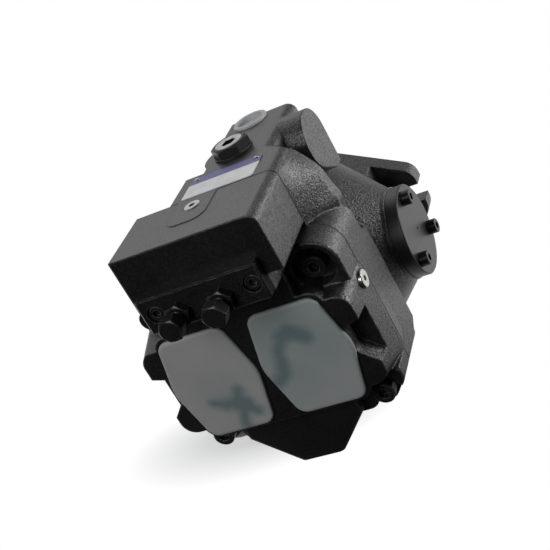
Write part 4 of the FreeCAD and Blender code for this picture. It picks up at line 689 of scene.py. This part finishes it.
def moulded_cap(name, node, body, x0):
    """Moulded shipping cap: rounded rim and a face that sinks a little in the middle."""
    mesh = bmesh.new()
    front = PAD_Y - CAP_THK
    profile = ((0.0, PAD_Y), *((inset, front + depth) for inset, depth in CAP_FACE))
    closed_stack(mesh, [[mesh.verts.new(p) for p in cap_loop(inset, x0, y)] for inset, y in profile])
    for dx in (-PEG_X, PEG_X):
        for dz in (-PEG_Z, PEG_Z):
            peg(mesh, x0 + dx, dz)
    cap = piece(name, mesh, "frosted_plastic", body)
    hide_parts(node)


def screw_rings(head_y, tip_y):
    """Places along an adjusting screw, each with the radius round it as a function of the angle."""
    neck_y = head_y + SCREW_HEAD_LEN
    levels = [SCREW_CHAMFER * k / CHAMFER_STEPS for k in range(CHAMFER_STEPS + 1)]
    rings = [(head_y + rise, hexagon_under(rise)) for rise in levels]
    rings += [(neck_y - rise, hexagon_under(rise)) for rise in reversed(levels)]
    rings.append((neck_y, lambda angle: ADJ_R))
    count = int((tip_y - SCREW_TIP - neck_y) / THREAD_PITCH * RINGS_PER_PITCH)
    for k in range(1, count + 1):
        y = neck_y + THREAD_PITCH * k / RINGS_PER_PITCH
        fade = min(1.0, k / RINGS_PER_PITCH, (count - k) / RINGS_PER_PITCH)
        rings.append((y, threaded(y, fade)))
    rings.append((tip_y - SCREW_TIP, lambda angle: ADJ_R))
    rings.append((tip_y, lambda angle: ADJ_R - SCREW_TIP))
    return rings


def hexagon_under(rise):
    """Radius of the hexagon head under its chamfer cone, at a distance from the head's end."""
    half = SCREW_HEAD_AF / 2
    cone = half - SCREW_END_INSET + rise * CHAMFER_SLOPE

    def radius(angle):
        from_flat = (angle % (math.pi / 3)) - math.pi / 6
        return min(half / math.cos(from_flat), cone)
    return radius


def threaded(y, fade):
    """Radius of the right-handed thread, whose groove is cut into the shank."""
    def radius(angle):
        phase = (y / THREAD_PITCH + angle / TURN) % 1.0
        from_crest = 1.0 - abs(2.0 * phase - 1.0)
        groove = min(max((from_crest - THREAD_CREST) / THREAD_FLANK, 0.0), 1.0)
        return ADJ_R - THREAD_DEPTH * groove * fade
    return radius


def adjusting_screw(name, node, body):
    """Adjusting screw with a chamfered hexagon head and a thread cut along its shank."""
    low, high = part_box(node)
    centre = (low + high) / 2
    mesh = bmesh.new()
    rings = []
    for y, radius in screw_rings(low.y, high.y):
        rings.append(ring_across(mesh, centre.x, y, centre.z, SCREW_SIDES, radius))
    closed_stack(mesh, rings)
    screw = piece(name, mesh, "black_steel", body, smooth=False)
    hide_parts(node)


def coil_spring(name, node, wire, turns, body=None, moving_end=None):
    """Helical spring with closed, ground ends, in the CAD spring's place; with a moving end it is left
    unattached, its place baked into its mesh.
    """
    low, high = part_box(node)
    centre = (low + high) / 2
    length = high.y - low.y
    reach = (high.x - low.x - wire) / 2
    mesh = bmesh.new()
    rings = []
    for k in range(turns * COIL_STEPS + 1):
        turn = k / COIL_STEPS
        angle = TURN * turn
        along = coil_rise(turn, turns, wire, length)
        ring = []
        for side in range(WIRE_SIDES):
            around = TURN * side / WIRE_SIDES
            out = reach + wire / 2 * math.cos(around)
            y = low.y + min(max(along + wire / 2 * math.sin(around), 0.0), length)
            place = (centre.x + out * math.cos(angle), y, centre.z - out * math.sin(angle))
            ring.append(mesh.verts.new(place))
        rings.append(ring)
    closed_stack(mesh, rings)
    spring = piece(name, mesh, "machined_steel", body)
    if moving_end is not None:
        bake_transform(spring)
    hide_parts(node)


def coil_rise(turn, turns, wire, length):
    """Height of the wire's centre along a spring whose first and last turns lie closed."""
    if turn < 1.0:
        return wire * turn
    if turn > turns - 1.0:
        return length - wire * (turns - turn)
    return wire + (length - 2 * wire) * (turn - 1.0) / (turns - 2.0)


def plate_frames():
    """Thin raised border lines of blank entry fields on the nameplate."""
    mesh = bmesh.new()
    x0 = PLATE_X[0] + FIELD_SIDE
    x1 = PLATE_X[1] - FIELD_SIDE
    height = (BAND_Y - PLATE_Y[0] - FIELD_ROOM) / len(FIELD_SPLITS)
    for row, share in enumerate(FIELD_SPLITS):
        low = PLATE_Y[0] + FIELD_FOOT + row * height
        high = low + height - FIELD_ROW_GAP
        split = x0 + (x1 - x0) * share
        frame_box(mesh, x0, split - FIELD_HALF_GAP, low, high)
        frame_box(mesh, split + FIELD_HALF_GAP, x1, low, high)
    piece("nameplate_fields", mesh, "plate", "casing", smooth=False)


def frame_box(mesh, x0, x1, y0, y1):
    """A flat rectangular frame standing a hair above the plate."""
    levels = (PLATE_TOP_Z - FIELD_SUNK, PLATE_TOP_Z + FIELD_RAISED)
    outer = [(x0, y0), (x1, y0), (x1, y1), (x0, y1)]
    left, right = x0 + FIELD_LINE, x1 - FIELD_LINE
    low, high = y0 + FIELD_LINE, y1 - FIELD_LINE
    inner = [(left, low), (right, low), (right, high), (left, high)]
    loops = [[mesh.verts.new((x, y, z)) for x, y in points] for z in levels for points in (outer, inner)]
    outer_foot, inner_foot, outer_top, inner_top = loops
    ring_bridge(mesh, outer_foot, outer_top)
    ring_bridge(mesh, inner_top, inner_foot)
    ring_bridge(mesh, outer_top, inner_top)
    ring_bridge(mesh, inner_foot, outer_foot)


# Studio

def floor():
    """Large round floor of pale paper."""
    mesh = bmesh.new()
    middle = mesh.verts.new((0.0, FLOOR_CENTRE_Y, FLOOR_Z))
    rings = []
    for radius in FLOOR_RADII:
        ring = []
        for k in range(FLOOR_SIDES):
            angle = TURN * k / FLOOR_SIDES
            place = (radius * math.cos(angle), FLOOR_CENTRE_Y + radius * math.sin(angle), FLOOR_Z)
            ring.append(mesh.verts.new(place))
        rings.append(ring)
    for k in range(FLOOR_SIDES):
        mesh.faces.new((middle, rings[0][k], rings[0][(k + 1) % FLOOR_SIDES]))
    for lower, upper in zip(rings, rings[1:]):
        ring_bridge(mesh, lower, upper)
    made = new_object("floor", mesh, floor_paper())


def floor_paper():
    """Paper that shows the pump's shadow to the camera and turns plain white away from it.

    Other rays find it dark in front of the pump, as under a studio flag, and white behind.
    """
    g = Graph("floor_paper")
    grain = g.noise(220.0, 3.0, 0.6)
    seen = g.ray("Is Camera Ray")
    paper = g.mix(grain, *PAPER_TINTS)
    across = g.maths("SUBTRACT", g.axis("Y"), g.maths("MULTIPLY", g.axis("X"), FLAG_SLANT))
    flagged = g.remap(across, *FLAG_Y, FLAG_SHADE, 1.0)
    g.finish(g.mix(seen, flagged, paper), 0.9, g.bump(grain, 0.05, 0.0003, None), specular=0.1)
    glow = g.node("ShaderNodeEmission")
    glow.inputs["Color"].default_value = (1, 1, 1, 1)
    glow.inputs["Strength"].default_value = 1.0
    outside = g.remap(g.vector("LENGTH", g.coord, None, "Value"), *WHITE_REACH)
    offset = g.vector("SUBTRACT", g.coord, (*SHADOW_CENTRE, 0.0))
    offset = g.vector("MULTIPLY", offset, (1.0, SHADOW_STRETCH_Y, 0.0))
    from_shadow = g.vector("LENGTH", offset, None, "Value")
    lift = g.remap(from_shadow, *SHADOW_REACH, SHADOW_LIFT, FLOOR_LIFT)
    white = g.maths("MULTIPLY", seen, g.maths("MAXIMUM", outside, lift))
    # Painted reflection: glossy rays see the floor glow white behind the pump and stay dark in front of
    # it
    reflection_glow = g.maths("MULTIPLY", g.ray("Is Glossy Ray"), flagged)
    blend = g.node("ShaderNodeMixShader")
    g.link(g.maths("ADD", white, reflection_glow), blend.inputs[0])
    g.link(g.bsdf.outputs[0], blend.inputs[1])
    g.link(glow.outputs[0], blend.inputs[2])
    g.link(blend.outputs[0], g.tree.nodes["Material Output"].inputs["Surface"])
    return g.mat


def turn_toward(place, target):
    """Rotation that points a lamp or a camera from its place to a target, held level."""
    return (Vector(target) - Vector(place)).to_track_quat("-Z", "Y")


def area_lamp(name, place, target, size, power):
    """Rectangular lamp at a place, turned to a target."""
    data = bpy.data.lights.new(name, "AREA")
    data.shape = "RECTANGLE"
    data.size, data.size_y = size
    data.energy = power
    lamp = bpy.data.objects.new(name, data)
    bpy.context.collection.objects.link(lamp)
    lamp.location = place
    lamp.rotation_mode = "QUATERNION"
    lamp.rotation_quaternion = turn_toward(place, target)


def world():
    """White to the camera; for the pump, a room that is bright behind on the left and dark elsewhere."""
    made = bpy.data.worlds.new("studio")
    bpy.context.scene.world = made
    made.use_nodes = True
    tree = made.node_tree
    background = tree.nodes["Background"]
    toward = tree.nodes.new("ShaderNodeVectorMath")
    toward.operation = "DOT_PRODUCT"
    toward.inputs[1].default_value = Vector(BRIGHT_SIDE).normalized()
    tree.links.new(tree.nodes.new("ShaderNodeTexCoord").outputs["Generated"], toward.inputs[0])
    wrap = tree.nodes.new("ShaderNodeMapRange")
    for socket, number in zip(wrap.inputs[1:5], (*ROOM_TURN, ROOM_DARK, ROOM_BRIGHT)):
        socket.default_value = number
    tree.links.new(toward.outputs["Value"], wrap.inputs[0])
    level = tree.nodes.new("ShaderNodeMix")
    tree.links.new(tree.nodes.new("ShaderNodeLightPath").outputs["Is Camera Ray"], level.inputs[0])
    tree.links.new(wrap.outputs[0], level.inputs[2])
    level.inputs[3].default_value = 1.0
    tree.links.new(level.outputs[0], background.inputs["Strength"])
    background.inputs["Color"].default_value = (1, 1, 1, 1)


def camera():
    """The photograph's view: from above the right rear of the pump, rolled about thirty degrees."""
    data = bpy.data.cameras.new("photo_camera")
    data.sensor_width = SENSOR_MM
    data.lens = CAMERA_FOCAL_PX / PHOTO_PX * SENSOR_MM
    data.clip_start, data.clip_end = CAMERA_CLIP
    made = bpy.data.objects.new("photo_camera", data)
    bpy.context.collection.objects.link(made)
    level = turn_toward(CAMERA_PLACE, CAMERA_AIM).to_matrix().to_4x4()
    rolled = level @ Matrix.Rotation(CAMERA_ROLL, 4, "Z")
    made.matrix_world = Matrix.Translation(Vector(CAMERA_PLACE)) @ rolled
    bpy.context.scene.camera = made


dress_nodes()
moulded_cap("shipping_cap_left", "port_cap_left", "left_cap", -PORT_X)
moulded_cap("shipping_cap_right", "port_cap_right", "right_cap", PORT_X)
adjusting_screw("pressure_screw_threaded", "pressure_adjusting_screw", "pressure_screw")
adjusting_screw("flow_screw_threaded", "flow_adjusting_screw", "flow_screw")
coil_spring("pressure_coil", "pressure_spring", THIN_WIRE, turns=8, moving_end="pressure_seat")
coil_spring("flow_coil", "flow_spring", THIN_WIRE, turns=8, moving_end="flow_seat")
coil_spring("bias_coil", "bias_spring", THICK_WIRE, turns=12, body="casing")
coil_spring("barrel_coil", "barrel_spring", THICK_WIRE, turns=9, body="rotor")
plate_frames()
floor()
for lamp_settings in LAMPS:
    area_lamp(*lamp_settings)
world()
camera()

bpy.context.scene.view_settings.view_transform = "Standard"
